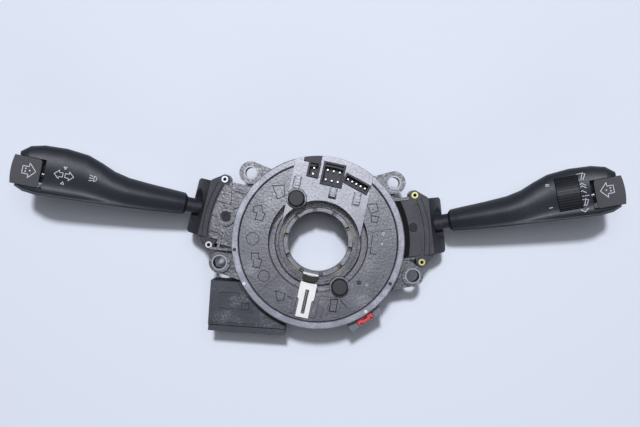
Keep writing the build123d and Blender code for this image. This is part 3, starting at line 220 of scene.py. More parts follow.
# Spark-eroded grain is 0.03 to 0.1 mm wide, and specks of dust and stains are under 0.3 mm. A pixel
# of the render is about 0.6 mm wide, so these patterns are drawn coarser than they really are,
# mostly at 0.6 to 1.6 mm, as they would otherwise only show as an even tone.
@dataclass(frozen=True)
class MouldedPlastic(Finish):
    """Injection-moulded plastic with a spark-eroded grain, softened edges, dust and stains.

    Names that end in mm are millimetres. The ring of painted shade lies between two distances from
    the bore's axis, and the painted shade of the depth covers all that lies below one height. Each
    is left out at zero.
    """

    grain_mm: float = 0.6
    grain_depth_mm: float = 0.02
    cloud_mm: float = 9.0
    dust: float = 0.0
    dust_colour: str = "#9a9a9c"
    dust_mm: float = 0.9
    grime: float = 0.0
    grime_mm: float = 1.3
    edge_mm: float = 0.25
    specular: float = 0.5
    # painted shade: a ring between two distances, a depth below one height, and its colour
    painted_shade_from_mm: float = 0.0
    painted_shade_within_mm: float = 0.0
    painted_shade_below_mm: float = 0.0
    painted_shade_colour: str = "#050506"
    ior: float = 1.5
    gloss_span: tuple = (0.08, 0.1)  # how far the grain lowers and raises the roughness
    dust_span: tuple = (0.27, 0.42)  # of the noise, from no dust to full dust
    grime_span: tuple = (0.56, 0.66)  # of the noise, from clean to stained
    grime_dulling: float = 0.35  # roughness that a stain adds
    # the ring of painted shade is also made rougher
    ring_dulling: float = 0.4  # roughness that the dark ring adds

    def shade(self, tree: NodeTree, shader: Node) -> None:
        """Grain as bump over rounded edges, clouds of lighter plastic, dust, stains and painted
        shade.

        Args:
            tree: The material's node tree.
            shader: Its Principled BSDF node.
        """
        place = add_node(tree, "ShaderNodeTexCoord").outputs["Object"]
        cloud = add_node(
            tree, "ShaderNodeTexNoise", {"Scale": per_metre(self.cloud_mm), "Detail": 5.0},
            {"Vector": place},
        ).outputs["Fac"]
        colour = add_node(
            tree, "ShaderNodeMix",
            {"data_type": "RGBA", MIX_A: linear(self.colour), MIX_B: linear(self.light)},
            {MIX_FACTOR: cloud},
        ).outputs[MIX_RESULT]
        grain = add_node(
            tree, "ShaderNodeTexNoise", {"Scale": per_metre(self.grain_mm), "Detail": 3.0},
            {"Vector": place},
        ).outputs["Fac"]
        below, above = self.gloss_span
        gloss = add_node(
            tree, "ShaderNodeMapRange",
            {"To Min": self.roughness - below, "To Max": self.roughness + above}, {"Value": grain},
        ).outputs["Result"]
        if self.dust:
            colour = self.dust_over(tree, place, cloud, colour)
        # stains, and painted shade where the finish has it, darken the colour and raise the
        # roughness
        for amount, dulling in self.stains_and_painted_shade(tree, place):
            colour = add_node(
                tree, "ShaderNodeMix", {"data_type": "RGBA", MIX_B: linear(self.painted_shade_colour)},
                {MIX_FACTOR: amount, MIX_A: colour},
            ).outputs[MIX_RESULT]
            gloss = add_node(
                tree, "ShaderNodeMath", {"operation": "MULTIPLY_ADD", 1: dulling},
                {0: amount, 2: gloss},
            ).outputs["Value"]
        edge = add_node(tree, "ShaderNodeBevel", {"Radius": self.edge_mm * MM})
        bump = add_node(
            tree, "ShaderNodeBump", {"Strength": 1.0, "Distance": self.grain_depth_mm * MM},
            {"Height": grain, "Normal": edge.outputs["Normal"]},
        )
        tree.links.new(colour, shader.inputs["Base Color"])
        tree.links.new(gloss, shader.inputs["Roughness"])
        tree.links.new(bump.outputs["Normal"], shader.inputs["Normal"])
        shader.inputs["IOR"].default_value = self.ior
        shader.inputs["Specular IOR Level"].default_value = self.specular

    def dust_over(
        self, tree: NodeTree, place: NodeSocket, cloud: NodeSocket, colour: NodeSocket
    ) -> NodeSocket:
        """Lays specks of dust over a colour, more of them where the clouds are pale.

        Args:
            tree: The material's node tree.
            place: Where the patterns are looked up.
            cloud: The pattern of the clouds.
            colour: The colour below the dust.

        Returns:
            The dusty colour.
        """
        speck = add_node(
            tree, "ShaderNodeTexNoise",
            {"Scale": per_metre(self.dust_mm), "Detail": 3.0, "Roughness": 0.7}, {"Vector": place},
        )
        drift = add_node(
            tree, "ShaderNodeMath", {"operation": "MULTIPLY"}, {0: speck.outputs["Fac"], 1: cloud}
        )
        none, full = self.dust_span
        level = add_node(
            tree, "ShaderNodeMapRange", {"From Min": none, "From Max": full, "To Max": self.dust},
            {"Value": drift.outputs["Value"]},
        )
        dusty = add_node(
            tree, "ShaderNodeMix", {"data_type": "RGBA", MIX_B: linear(self.dust_colour)},
            {MIX_FACTOR: level.outputs["Result"], MIX_A: colour},
        )
        return dusty.outputs[MIX_RESULT]

    def stains_and_painted_shade(self, tree: NodeTree, place: NodeSocket) -> list[tuple[NodeSocket, float]]:
        """Finds the stains, and the painted shade of the ring and of the depth, as far as the
        finish has them.

        Args:
            tree: The material's node tree.
            place: Where the patterns are looked up.

        Returns:
            For each, how dark a place is, from 0 to 1, and the roughness that this adds.
        """
        found = []
        if self.grime:
            stain = add_node(
                tree, "ShaderNodeTexNoise",
                {"Scale": per_metre(self.grime_mm), "Detail": 4.0, "Roughness": 0.6},
                {"Vector": place},
            )
            clean, full = self.grime_span
            blot = add_node(
                tree, "ShaderNodeMapRange",
                {"From Min": clean, "From Max": full, "To Max": self.grime},
                {"Value": stain.outputs["Fac"]},
            )
            found.append((blot.outputs["Result"], self.grime_dulling))
        # a ring of painted shade between two distances from the bore's axis
        if self.painted_shade_within_mm:
            flat = add_node(
                tree, "ShaderNodeVectorMath", {"operation": "MULTIPLY", 1: (1.0, 1.0, 0.0)},
                {0: place},
            )
            reach = add_node(
                tree, "ShaderNodeVectorMath", {"operation": "LENGTH"}, {0: flat.outputs["Vector"]}
            )
            middle = (self.painted_shade_from_mm + self.painted_shade_within_mm) / 2
            half = (self.painted_shade_within_mm - self.painted_shade_from_mm) / 2
            ring = add_node(
                tree, "ShaderNodeMath", {"operation": "COMPARE", 1: middle * MM, 2: half * MM},
                {0: reach.outputs["Value"]},
            )
            found.append((ring.outputs["Value"], self.ring_dulling))
        # painted shade over all that lies below one height
        if self.painted_shade_below_mm:
            axes = add_node(tree, "ShaderNodeSeparateXYZ", {}, {"Vector": place})
            painted_shade_depth = add_node(
                tree, "ShaderNodeMath", {"operation": "LESS_THAN", 1: self.painted_shade_below_mm * MM},
                {0: axes.outputs["Z"]},
            )
            found.append((painted_shade_depth.outputs["Value"], 0.0))
        return found


@dataclass(frozen=True)
class PlatedMetal(Finish):
    """Plated steel or brass, with clouds in the plating and painted shade where it is sunk.

    A second colour can take the place of the plating on the left of the unit, and painted shade
    covers what lies below one height. Each is left out where it is empty or zero.
    """

    cloud_mm: float = 1.6
    left_colour: str = ""
    sunk_shade_below_mm: float = 0.0
    sunk_shade_fade_mm: float = 0.1
    sunk_shade_colour: str = "#0b0b0c"
    gloss_span: tuple = (0.08, 0.12)  # how far the clouds lower and raise the roughness

    def shade(self, tree: NodeTree, shader: Node) -> None:
        """Metal with clouds that change its colour and its gloss.

        Args:
            tree: The material's node tree.
            shader: Its Principled BSDF node.
        """
        place = add_node(tree, "ShaderNodeTexCoord").outputs["Object"]
        axes = add_node(tree, "ShaderNodeSeparateXYZ", {}, {"Vector": place})
        cloud = add_node(
            tree, "ShaderNodeTexNoise", {"Scale": per_metre(self.cloud_mm), "Detail": 3.0},
            {"Vector": place},
        ).outputs["Fac"]
        colour = add_node(
            tree, "ShaderNodeMix",
            {"data_type": "RGBA", MIX_A: linear(self.colour), MIX_B: linear(self.light)},
            {MIX_FACTOR: cloud},
        ).outputs[MIX_RESULT]
        if self.left_colour:
            right = add_node(
                tree, "ShaderNodeMath", {"operation": "GREATER_THAN", 1: 0.0},
                {0: axes.outputs["X"]},
            )
            colour = add_node(
                tree, "ShaderNodeMix", {"data_type": "RGBA", MIX_A: linear(self.left_colour)},
                {MIX_FACTOR: right.outputs["Value"], MIX_B: colour},
            ).outputs[MIX_RESULT]
        # painted shade over what lies below one height, in the sunk recesses
        if self.sunk_shade_below_mm:
            start = (self.sunk_shade_below_mm - self.sunk_shade_fade_mm) * MM
            above = add_node(
                tree, "ShaderNodeMapRange",
                {"From Min": start, "From Max": self.sunk_shade_below_mm * MM},
                {"Value": axes.outputs["Z"]},
            )
            colour = add_node(
                tree, "ShaderNodeMix", {"data_type": "RGBA", MIX_A: linear(self.sunk_shade_colour)},
                {MIX_FACTOR: above.outputs["Result"], MIX_B: colour},
            ).outputs[MIX_RESULT]
        less, more = self.gloss_span
        gloss = add_node(
            tree, "ShaderNodeMapRange",
            {"To Min": self.roughness - less, "To Max": self.roughness + more}, {"Value": cloud},
        )
        tree.links.new(colour, shader.inputs["Base Color"])
        tree.links.new(gloss.outputs["Result"], shader.inputs["Roughness"])
        shader.inputs["Metallic"].default_value = 1.0


@dataclass(frozen=True)
class SolderMask(Finish):
    """Solder mask over copper tracks on a glass-fibre board."""

    pattern_mm: float = 7.8  # four rows of the pattern, so the tracks lie about 2 mm apart
    track_share: float = 0.03  # width of a track, as a share of the pattern

    def shade(self, tree: NodeTree, shader: Node) -> None:
        """Tracks as lighter lines under a glossy lacquer.

        Args:
            tree: The material's node tree.
            shader: Its Principled BSDF node.
        """
        place = add_node(tree, "ShaderNodeTexCoord").outputs["Object"]
        tracks = add_node(
            tree, "ShaderNodeTexBrick",
            {
                "Scale": per_metre(self.pattern_mm), "Mortar Size": self.track_share,
                "Color1": linear(self.colour), "Color2": linear(self.colour),
                "Mortar": linear(self.light),
            },
            {"Vector": place},
        )
        tree.links.new(tracks.outputs["Color"], shader.inputs["Base Color"])
        shader.inputs["Roughness"].default_value = self.roughness


# black glass-filled polyamide, moulded: rough and glinting, with pale dust between its ribs
CARRIER_POLYAMIDE = MouldedPlastic(
    "glass_filled_polyamide_moulded", colour="#15161a", light="#3a3b42", roughness=0.34,
    grain_mm=1.6, grain_depth_mm=0.16, dust=0.6, dust_mm=1.4, cloud_mm=6.0, grime=0.55,
    specular=0.6,
)
# black ABS blend, moulded in a spark-eroded tool: matt and nearly even
SATIN_ABS = MouldedPlastic(
    "black_abs_moulded", colour="#16171c", light="#22232a", roughness=0.54, grain_mm=0.9,
    grain_depth_mm=0.05, dust=0.08, specular=0.4,
)
# the right module's roof: the same plastic, with painted shade in black where it dips beside the
# cassette
MODULE_ABS = MouldedPlastic(
    "black_abs_moulded_painted_shade_rim", colour="#1a1b21", light="#272830", roughness=0.52, grain_mm=0.9,
    grain_depth_mm=0.05, dust=0.08, specular=0.42, painted_shade_within_mm=58.2,
)
# black polyester of the sleeve: glossy, with marks from handling
RING_POLYESTER = MouldedPlastic(
    "black_polyester_moulded", colour="#17181c", light="#3a3b42", roughness=0.34, grain_mm=1.3,
    grain_depth_mm=0.08, dust=0.4, dust_mm=1.2, cloud_mm=7.0, grime=0.6,
)
# the crown's polyester: dusty on top, black where its notches and its bore are shaded
CROWN_POLYESTER = MouldedPlastic(
    "black_polyester_dusty", colour="#3c3d43", light="#77787e", roughness=0.4, grain_mm=1.3,
    grain_depth_mm=0.08, dust=0.5, dust_mm=1.2, cloud_mm=4.0, painted_shade_below_mm=48.6,
    painted_shade_colour="#0c0c0e",
)
# the rotor's black polycarbonate, moulded: glossy, dusty and stained with old grease
ROTOR_POLYCARBONATE = MouldedPlastic(
    "black_polycarbonate_moulded", colour="#1c1d22", light="#484a52", roughness=0.34,
    grain_mm=1.4, grain_depth_mm=0.08, dust=0.45, dust_mm=1.2, cloud_mm=14.0, grime=0.6,
    specular=0.65,
)
# the connector plate's polyamide: greyer and polished by handling
PLATE_POLYAMIDE = MouldedPlastic(
    "dark_grey_polyamide_moulded", colour="#4c4e56", light="#83858e", roughness=0.34,
    grain_mm=1.4, grain_depth_mm=0.05, dust=0.5, dust_mm=1.2, cloud_mm=14.0, grime=0.3,
    specular=0.8,
)
# the plug housings' polyester: smooth, dull and slightly blue
BOX_POLYESTER = MouldedPlastic(
    "dark_polyester_moulded", colour="#22252c", light="#31343c", roughness=0.5, grain_mm=1.1,
    grain_depth_mm=0.06, dust=0.3, dust_mm=1.4, cloud_mm=12.0, specular=0.4, grime=0.3,
)
# grained polypropylene of the handles: near black with a blue cast and a leathery sheen
HANDLE_GRAIN = MouldedPlastic(
    "black_polypropylene_spark_eroded", colour="#191b21", light="#24272f", roughness=0.5,
    grain_mm=0.9, grain_depth_mm=0.06, cloud_mm=30.0, dust=0.04, dust_mm=1.4,
)
# black ABS of the button caps, from a polished tool: smooth and a little darker than the grain
BUTTON_SMOOTH = MouldedPlastic(
    "black_abs_polished", colour="#131419", light="#1a1c22", roughness=0.46, grain_mm=0.9,
    grain_depth_mm=0.03, edge_mm=0.5, specular=0.4,
)
# grey acetal rim, moulded: chalky, with pale specks of dust and scuffs that are partly painted
# glints
GREY_ACETAL = MouldedPlastic(
    "grey_acetal_moulded", colour="#5a5c64", light="#8b8d96", roughness=0.36, grain_mm=1.4,
    grain_depth_mm=0.08, cloud_mm=9.0, dust=0.5, dust_colour="#c4c6cd", dust_mm=1.1, grime=0.35,
    specular=0.7,
)
# mid grey polyester of the plug: plain and slightly glossy
GREY_POLYESTER = MouldedPlastic(
    "grey_polyester_moulded", colour="#55575d", light="#65676d", roughness=0.42
)
# red polyester lock: saturated and slightly glossy
RED_POLYESTER = MouldedPlastic(
    "red_polyester_moulded", colour="#b4161c", light="#cf2a2e", roughness=0.36, cloud_mm=4.0
)
# white acetal slider: waxy, with painted shade in dark olive on the nose, where it sits low over
# the crown
WHITE_ACETAL = MouldedPlastic(
    "white_acetal_moulded", colour="#d2d2c8", light="#e6e6de", roughness=0.34, grain_mm=0.8,
    cloud_mm=5.0, painted_shade_from_mm=21.7, painted_shade_within_mm=25.6, painted_shade_colour="#23241c",
)
# natural acetal gears: cream and waxy
NATURAL_ACETAL = MouldedPlastic(
    "natural_acetal_moulded", colour="#cfccbc", light="#dddaca", roughness=0.4
)
# black rubber, moulded: dull with a soft bloom
MOULDED_RUBBER = MouldedPlastic(
    "black_rubber_moulded", colour="#0d0e10", light="#17181b", roughness=0.58, grain_mm=0.6,
    grain_depth_mm=0.06, edge_mm=0.4,
)
# amber polyester film: glossy and warm
AMBER_FILM = MouldedPlastic(
    "amber_polyester_film", colour="#8a6a35", light="#a5803f", roughness=0.25, grain_mm=2.0,
    grain_depth_mm=0.01,
)
# white pips and plungers: plain waxy acetal
WHITE_PIP = MouldedPlastic(
    "white_acetal_plain", colour="#c2c2bc", light="#d6d6d0", roughness=0.4
)
# black-oxide steel of the boss screw and the pivot pins: dark with a cold sheen
BLACK_OXIDE = PlatedMetal("black_oxide_steel", colour="#17171a", light="#2c2c31", roughness=0.45)
# bright zinc plating on steel: cool silver
ZINC_PLATED = PlatedMetal("zinc_plated_steel", colour="#54565a", light="#7f8185", roughness=0.45)
# yellow-passivated zinc: brassy with greenish clouds, plain silver on the unit's left, and painted
# shade in its sunk recesses
YELLOW_ZINC = PlatedMetal(
    "yellow_passivated_zinc", colour="#77744a", light="#99956a", roughness=0.42,
    left_colour="#85878b", sunk_shade_below_mm=48.5,
)
# tinned brass contacts: pale, with a little of the brass in it
TINNED_BRASS = PlatedMetal("tinned_brass", colour="#8f8d86", light="#b3b1a9", roughness=0.35)
# drawn spring wire: darker steel
SPRING_WIRE = PlatedMetal("drawn_spring_steel", colour="#8f9094", light="#a9aaad", roughness=0.3)
# green solder mask on the boards: glossy lacquer with paler tracks
BOARD = SolderMask("green_solder_mask", colour="#12452a", light="#1d6a3c", roughness=0.25)
# pad-printed white ink: matt and slightly grey where it is thin
WHITE_INK = MouldedPlastic(
    "white_pad_printing_ink", colour="#c6c8cc", light="#dfe0e3", roughness=0.55, grain_mm=0.3,
    grain_depth_mm=0.004, cloud_mm=2.0,
)
# old bearing grease: olive and half dried
GREASE = MouldedPlastic(
    "olive_bearing_grease", colour="#67663a", light="#908f5a", roughness=0.4, grain_mm=1.2,
    grain_depth_mm=0.1, cloud_mm=3.0,
)


def sides(*parts: str) -> tuple:
    """The names of pieces that the unit has on the left and on the right."""
    return tuple(f"{side}_{part}" for part in parts for side in ("left", "right"))


NODE_FINISHES = {
    CARRIER_POLYAMIDE: ("carrier",),
    SATIN_ABS: (
        "sensor_housing", "sensor_lid", "cassette_case", "wheel_sockets", "left_switch_housing",
        *sides("switch_lid", "stalk_arm", "button_contact"),
    ),
    MODULE_ABS: ("right_switch_housing",),
    RING_POLYESTER: ("rotor_sleeve",),
    CROWN_POLYESTER: ("crown_tube",),
    ROTOR_POLYCARBONATE: ("rotor_disc",),
    PLATE_POLYAMIDE: ("connector_plate",),
    BOX_POLYESTER: ("harness_box",),
    HANDLE_GRAIN: sides("stalk_front", "stalk_back"),
    BUTTON_SMOOTH: (*sides("end_button"), "thumbwheel"),
    GREY_ACETAL: ("cassette_rim",),
    GREY_POLYESTER: ("airbag_plug", *sides("cradle")),
    WHITE_ACETAL: ("lock_slider",),
    WHITE_PIP: sides("detent_plunger"),
    RED_POLYESTER: ("airbag_lock",),
    NATURAL_ACETAL: ("hub_gear", "coarse_gear", "fine_gear"),
    MOULDED_RUBBER: ("drive_pins", *sides("dust_shield")),
    AMBER_FILM: ("ribbon_cable",),
    ZINC_PLATED: ("eye_bushes", "sensor_screws", *sides("cross_pin")),
    BLACK_OXIDE: ("deck_screw", *sides("pivot_pin")),
    YELLOW_ZINC: ("module_screws",),
    TINNED_BRASS: ("wheel_socket_pins", "harness_pins", *sides("switch_terminals")),
    SPRING_WIRE: ("lock_spring", *sides("button_spring", "detent_spring")),
    BOARD: ("sensor_board", *sides("switch_board")),
}


# ------------------------ printed signs
class Shape(Enum):
    """The forms that a printed sign is drawn with."""

    LINE = "line"
    LOOP = "loop"
    ARC = "arc"
    DOT = "dot"


@dataclass(frozen=True)
class Stroke:
    """One stroke of a sign, in millimetres about the sign's own centre."""

    shape: Shape
    points: tuple
    radius: float = 0.0
    start: float = 0.0
    end: float = 360.0


@dataclass(frozen=True)
class Sign:
    """A sign made of strokes, with its place along and across a handle."""

    reach: float
    across: float
    strokes: tuple
    turned: float = 0.0


def line(*points: tuple) -> Stroke:
    """An open stroke through points."""
    return Stroke(Shape.LINE, points)


def loop(*points: tuple) -> Stroke:
    """A closed stroke through points."""
    return Stroke(Shape.LOOP, points)


def arc(x: float, y: float, radius: float, start: float, end: float) -> Stroke:
    """A stroke along an arc about a centre, between two angles in degrees."""
    return Stroke(Shape.ARC, ((x, y),), radius, start, end)


def dot(x: float, y: float, radius: float) -> Stroke:
    """A filled round spot."""
    return Stroke(Shape.DOT, ((x, y),), radius)


ARROW = (
    loop((-2.7, 0.0), (0.2, 2.7), (0.2, 1.3), (2.5, 1.3), (2.5, -1.3), (0.2, -1.3), (0.2, -2.7)),
)
BIG_ARROW = (
    loop((4.2, 0.0), (0.0, 4.6), (0.0, 2.3), (-3.8, 2.3), (-3.8, -2.3), (0.0, -2.3), (0.0, -4.6)),
    dot(-1.9, 0.9, 0.45),
    dot(-1.9, -0.9, 0.45),
    dot(0.6, 0.0, 0.45),
)
LAMP = (
    arc(0.4, 0.0, 1.6, -90.0, 90.0),
    line((0.4, 1.6), (0.4, -1.6)),
    line((-0.5, 1.3), (-2.4, 1.7)),
    line((-0.5, 0.0), (-2.4, 0.0)),
    line((-0.5, -1.3), (-2.4, -1.7)),
)
SCREEN = (
    arc(0.0, -4.6, 6.6, 62.0, 118.0),
    arc(0.0, -4.6, 3.0, 62.0, 118.0),
    line((-1.4, -1.95), (-3.1, 1.2)),
    line((1.4, -1.95), (3.1, 1.2)),
    line((0.2, -1.7), (1.7, 2.4)),
)
CHEVRON = (line((-2.2, -0.8), (0.0, 0.9), (2.2, -0.8)),)
DOUBLE_CHEVRON = (
    line((-2.2, -1.6), (0.0, 0.0), (2.2, -1.6)),
    line((-2.2, 0.0), (0.0, 1.6), (2.2, 0.0)),
)
DASHES = (
    line((-3.9, 0.0), (-1.5, 0.0)),
    line((-0.8, 0.0), (0.8, 0.0)),
    line((1.5, 0.0), (3.9, 0.0)),
)
TWO_TICKS = (line((-0.9, 0.45), (0.9, 0.45)), line((-0.9, -0.45), (0.9, -0.45)))
ONE_TICK = (line((-0.9, 0.0), (0.9, 0.0)),)
WEDGE = (loop((-0.9, -0.6), (0.9, -0.6), (0.0, 0.8)),)

CUT_LENGTH = 0.8  # longest stretch of a bar between two cuts, in millimetres
FEWEST_CUTS = 2


def draw_bar(start: tuple, end: tuple, width: float) -> Object:
    """Draws a straight stroke as a plane, cut across so that it can follow a curved face.

    Args:
        start: One end, in millimetres.
        end: The other end.
        width: The stroke's width.

    Returns:
        The bar.
    """
    length = hypot(end[0] - start[0], end[1] - start[1]) + width
    deselect_all()
    bpy.ops.mesh.primitive_plane_add(size=1.0)
    bar = bpy.context.object
    bar.scale = (length, width, 1.0)
    apply_place(bar)
    switch_to("EDIT")
    bpy.ops.mesh.subdivide(number_cuts=max(FEWEST_CUTS, int(length / CUT_LENGTH)))
    switch_to("OBJECT")
    bar.rotation_euler.z = atan2(end[1] - start[1], end[0] - start[0])
    bar.location = ((start[0] + end[0]) / 2, (start[1] + end[1]) / 2, 0.0)
    apply_place(bar)
    return bar


@dataclass
class HandleSigns:
    """White signs printed on one stalk's handle and on its end button, sized in millimetres."""

    side: str
    signs: tuple
    button_signs: tuple
    stroke_width: float = 0.42
    ink: float = 0.04
    arc_steps: int = 10
    dot_sides: int = 20
    start_height: float = 22.0  # of the flat print above the pivot, clear of the handle
    longest_drop: float = 26.0
    least_facing: float = 0.3  # a face that looks away more than this gets no ink

    def axes(self) -> Matrix:
        """The handle's own frame, from its pivot.

        Returns:
            The axes out along the stalk, across it and towards the driver, with their origin.
        """
        joints = {j["name"]: j for j in frame["joints"]}
        pivot = Vector(joints[f"{self.side}_turn"]["pos_m"])
        along = -Vector(joints[f"{self.side}_button_push"]["axis"]).normalized()
        across = Vector(joints[f"{self.side}_pull"]["axis"]).normalized()
        if across.y < 0:
            across.negate()
        front = along.cross(across)
        if front.z < 0:
            front.negate()
        turn = Matrix((along, across, front)).transposed().to_4x4()
        return Matrix.Translation(pivot) @ turn

    def draw_stroke(self, stroke: Stroke) -> list[Object]:
        """Draws one stroke.

        Args:
            stroke: What to draw.

        Returns:
            The flat pieces it is made of.
        """
        points = list(stroke.points)
        x, y = points[0]
        if stroke.shape is Shape.DOT:
            deselect_all()
            bpy.ops.mesh.primitive_circle_add(
                vertices=self.dot_sides, radius=stroke.radius, location=(x, y, 0.0),
                fill_type="NGON",
            )
            spot = bpy.context.object
            apply_place(spot)
            return [spot]
        if stroke.shape is Shape.ARC:
            step = (stroke.end - stroke.start) / self.arc_steps
            angles = [radians(stroke.start + step * i) for i in range(self.arc_steps + 1)]
            points = [(x + stroke.radius * cos(a), y + stroke.radius * sin(a)) for a in angles]
        if stroke.shape is Shape.LOOP:
            points.append(points[0])
        return [draw_bar(a, b, self.stroke_width) for a, b in zip(points, points[1:])]

    def print_on(self, signs: tuple, target: str, body: str, name: str) -> Object:
        """Prints signs on a CAD node's front face.

        Args:
            signs: The signs.
            target: The node that carries them.
            body: The body that the print rides on.
            name: The piece's name.

        Returns:
            The print, as one thin piece.
        """
        half_turn = pi if self.side == "left" else 0.0
        pieces = []
        for sign in signs:
            bars = [bar for stroke in sign.strokes for bar in self.draw_stroke(stroke)]
            drawn = join(bars, "sign")
            drawn.rotation_euler.z = radians(sign.turned) + half_turn
            drawn.location = (sign.reach, sign.across, self.start_height)
            apply_place(drawn)
            pieces.append(drawn)
        whole = join(pieces, name)
        whole.matrix_world = self.axes() @ Matrix.Scale(MM, 4)
        apply_place(whole)
        front = self.axes().to_3x3() @ Vector((0.0, 0.0, 1.0))
        whole.data.update()
        for polygon in whole.data.polygons:
            if polygon.normal.dot(front) < 0:
                polygon.flip()
        self.drop(whole, frame["nodes"][target], front)
        thick = whole.modifiers.new("ink", "SOLIDIFY")
        thick.thickness = self.ink * MM
        thick.offset = 0.5
        apply_modifiers(whole)
        put_on(whole, WHITE_INK)
        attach(whole, body)
        return whole

    def drop(self, piece: Object, target: Object, front: Vector) -> None:
        """Lowers each point of a print onto the face below it, and takes off what misses the face.

        Args:
            piece: The flat print, held above the face.
            target: The node below it.
            front: The direction the face looks in.
        """
        deselect_mesh(piece)
        for vertex in piece.data.vertices:
            hit, where, normal, _ = target.ray_cast(vertex.co, -front)
            near = (vertex.co - where).length < self.longest_drop * MM
            kept = hit and near and normal.dot(front) > self.least_facing
            if kept:
                vertex.co = where + front * self.ink * MM
            vertex.select = not kept
        switch_to("EDIT")
        bpy.ops.mesh.delete(type="VERT")
        switch_to("OBJECT")

    def build(self) -> list[str]:
        """Prints the handle's and the button's signs.

        Returns:
            The names of the pieces.
        """
        prints = (
            (self.signs, "stalk_front", "stalk", "handle_print"),
            (self.button_signs, "end_button", "button", "button_print"),
        )
        return [
            self.print_on(signs, *(f"{self.side}_{name}" for name in names)).name
            for signs, *names in prints
        ]


LEFT_SIGNS = HandleSigns(
    side="left",
    signs=(
        Sign(105.6, 2.1, ARROW),
        Sign(99.2, 2.1, ARROW, 180.0),
        Sign(102.4, 6.6, WEDGE),
        Sign(102.4, -2.8, WEDGE, 180.0),
        Sign(84.8, 3.8, LAMP),
    ),
    button_signs=(Sign(123.3, 0.7, BIG_ARROW),),
)
RIGHT_SIGNS = HandleSigns(
    side="right",
    signs=(
        Sign(109.2, 12.4, SCREEN),
        Sign(109.4, 6.8, DOUBLE_CHEVRON),
        Sign(109.0, 3.0, CHEVRON),
        Sign(108.6, 0.4, DASHES),
        Sign(108.6, -3.6, SCREEN),
        Sign(108.4, -8.4, CHEVRON, 180.0),
        Sign(89.0, 10.9, TWO_TICKS),
        Sign(88.8, -3.2, ONE_TICK),
    ),
    button_signs=(Sign(123.6, 1.6, BIG_ARROW, 180.0),),
)


# ------------------------ marks on the rotor and rim
@dataclass
class RotorMarks:
    """Small moulded marks on the rotor and its rim, in millimetres: square pads, pips and rings."""

    square_side: float = 2.6
    square_height: float = 0.3
    square_border: float = 0.45
    square_sink: float = 0.2
    square_turn: float = -8.5
    square_places: tuple = ((-29.0, 28.0), (39.5, 2.0), (32.0, -24.0))
    disc_pip: tuple = (DISC_TOP, 1.4, 0.3)  # the face below it, its radius and its height
    pip_sides: int = 24
    pip_edge: float = 0.4  # of its height, how wide its bevel is
    pale_pips: tuple = ((40.0, 8.0),)
    dark_pips: tuple = ((27.0, -23.0),)
    rim_pip: tuple = (RIM_TOP, 1.1, 0.25)
    rim_dark: tuple = ((-51.3, -8.0), (46.4, -22.4))
    rim_pale: tuple = ((-44.0, -28.6), (32.5, -40.6))
    ring_places: tuple = ((-40.5, -0.5, 3.9), (-32.0, -23.0, 3.4))
    ring_width: float = 0.35
    ring_swell: float = 1.2  # of its width, how far it is stretched upwards
    ring_segments: tuple = (40, 8)

    def spot(self, x: float, y: float, z: float, radius: float, height: float) -> Object:
        """A low round pip with a bevelled edge.

        Args:
            x: Its place to the right.
            y: Its place upwards.
            z: The height of the face it stands on.
            radius: Its radius.
            height: How far it stands out.

        Returns:
            The pip.
        """
        deselect_all()
        bpy.ops.mesh.primitive_cylinder_add(
            vertices=self.pip_sides, radius=radius * MM, depth=height * MM,
            location=(x * MM, y * MM, (z + height / 2) * MM),
        )
        pip = bpy.context.object
        apply_place(pip)
        soft = pip.modifiers.new("edge", "BEVEL")
        soft.width = height * self.pip_edge * MM
        soft.segments = 2
        soft.limit_method = "ANGLE"
        apply_modifiers(pip)
        return pip

    def square(self, x: float, y: float) -> Object:
        """A square pad with a sunk middle, moulded on the disc.

        Args:
            x: Its place to the right.
            y: Its place upwards.

        Returns:
            The pad.
        """
        deselect_all()
        bpy.ops.mesh.primitive_cube_add(size=1.0)
        pad = bpy.context.object
        pad.scale = (self.square_side * MM, self.square_side * MM, self.square_height * MM)
        apply_place(pad)
        deselect_mesh(pad)
        for polygon in pad.data.polygons:
            polygon.select = polygon.normal.z > FACING_UP
        switch_to("EDIT")
        bpy.ops.mesh.inset(thickness=self.square_border * MM)
        bpy.ops.transform.translate(value=(0.0, 0.0, -self.square_sink * MM))
        switch_to("OBJECT")
        pad.rotation_euler.z = radians(self.square_turn)
        pad.location = (x * MM, y * MM, (DISC_TOP + self.square_height / 2) * MM)
        apply_place(pad)
        return pad

    def ring(self, x: float, y: float, radius: float) -> Object:
        """A thin raised ring, left bare inside.

        Args:
            x: Its place to the right.
            y: Its place upwards.
            radius: Its radius.

        Returns:
            The ring.
        """
        around, across = self.ring_segments
        deselect_all()
        bpy.ops.mesh.primitive_torus_add(
            major_radius=radius * MM, minor_radius=self.ring_width * MM / 2, major_segments=around,
            minor_segments=across, location=(x * MM, y * MM, DISC_TOP * MM),
        )
        made = bpy.context.object
        made.scale = (1.0, 1.0, self.ring_swell)
        apply_place(made)
        return made

    def build(self) -> list[str]:
        """Makes the marks.

        Returns:
            The names of the pieces.
        """
        pads = join([self.square(x, y) for x, y in self.square_places], "disc_square_pads")
        put_on(pads, GREY_ACETAL)
        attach(pads, "rotor")
        pale = join([self.spot(x, y, *self.disc_pip) for x, y in self.pale_pips], "disc_pale_pips")
        put_on(pale, GREY_ACETAL)
        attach(pale, "rotor")
        dark = join([self.spot(x, y, *self.disc_pip) for x, y in self.dark_pips], "disc_dark_pips")
        put_on(dark, MOULDED_RUBBER)
        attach(dark, "rotor")
        rings = join([self.ring(*place) for place in self.ring_places], "disc_raised_rings")
        put_on(rings, MOULDED_RUBBER)
        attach(rings, "rotor")
        names = [pads.name, pale.name, dark.name, rings.name]
        for places, finish, name, slot in (
            (self.rim_dark, MOULDED_RUBBER, "rim_dark_pips", "rubber"),
            (self.rim_pale, WHITE_PIP, "rim_pale_pips", "white_plastic"),
        ):
            pips = join([self.spot(x, y, *self.rim_pip) for x, y in places], name)
            put_on(pips, finish)
            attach(pips, "housing")
            names.append(name)
        return names


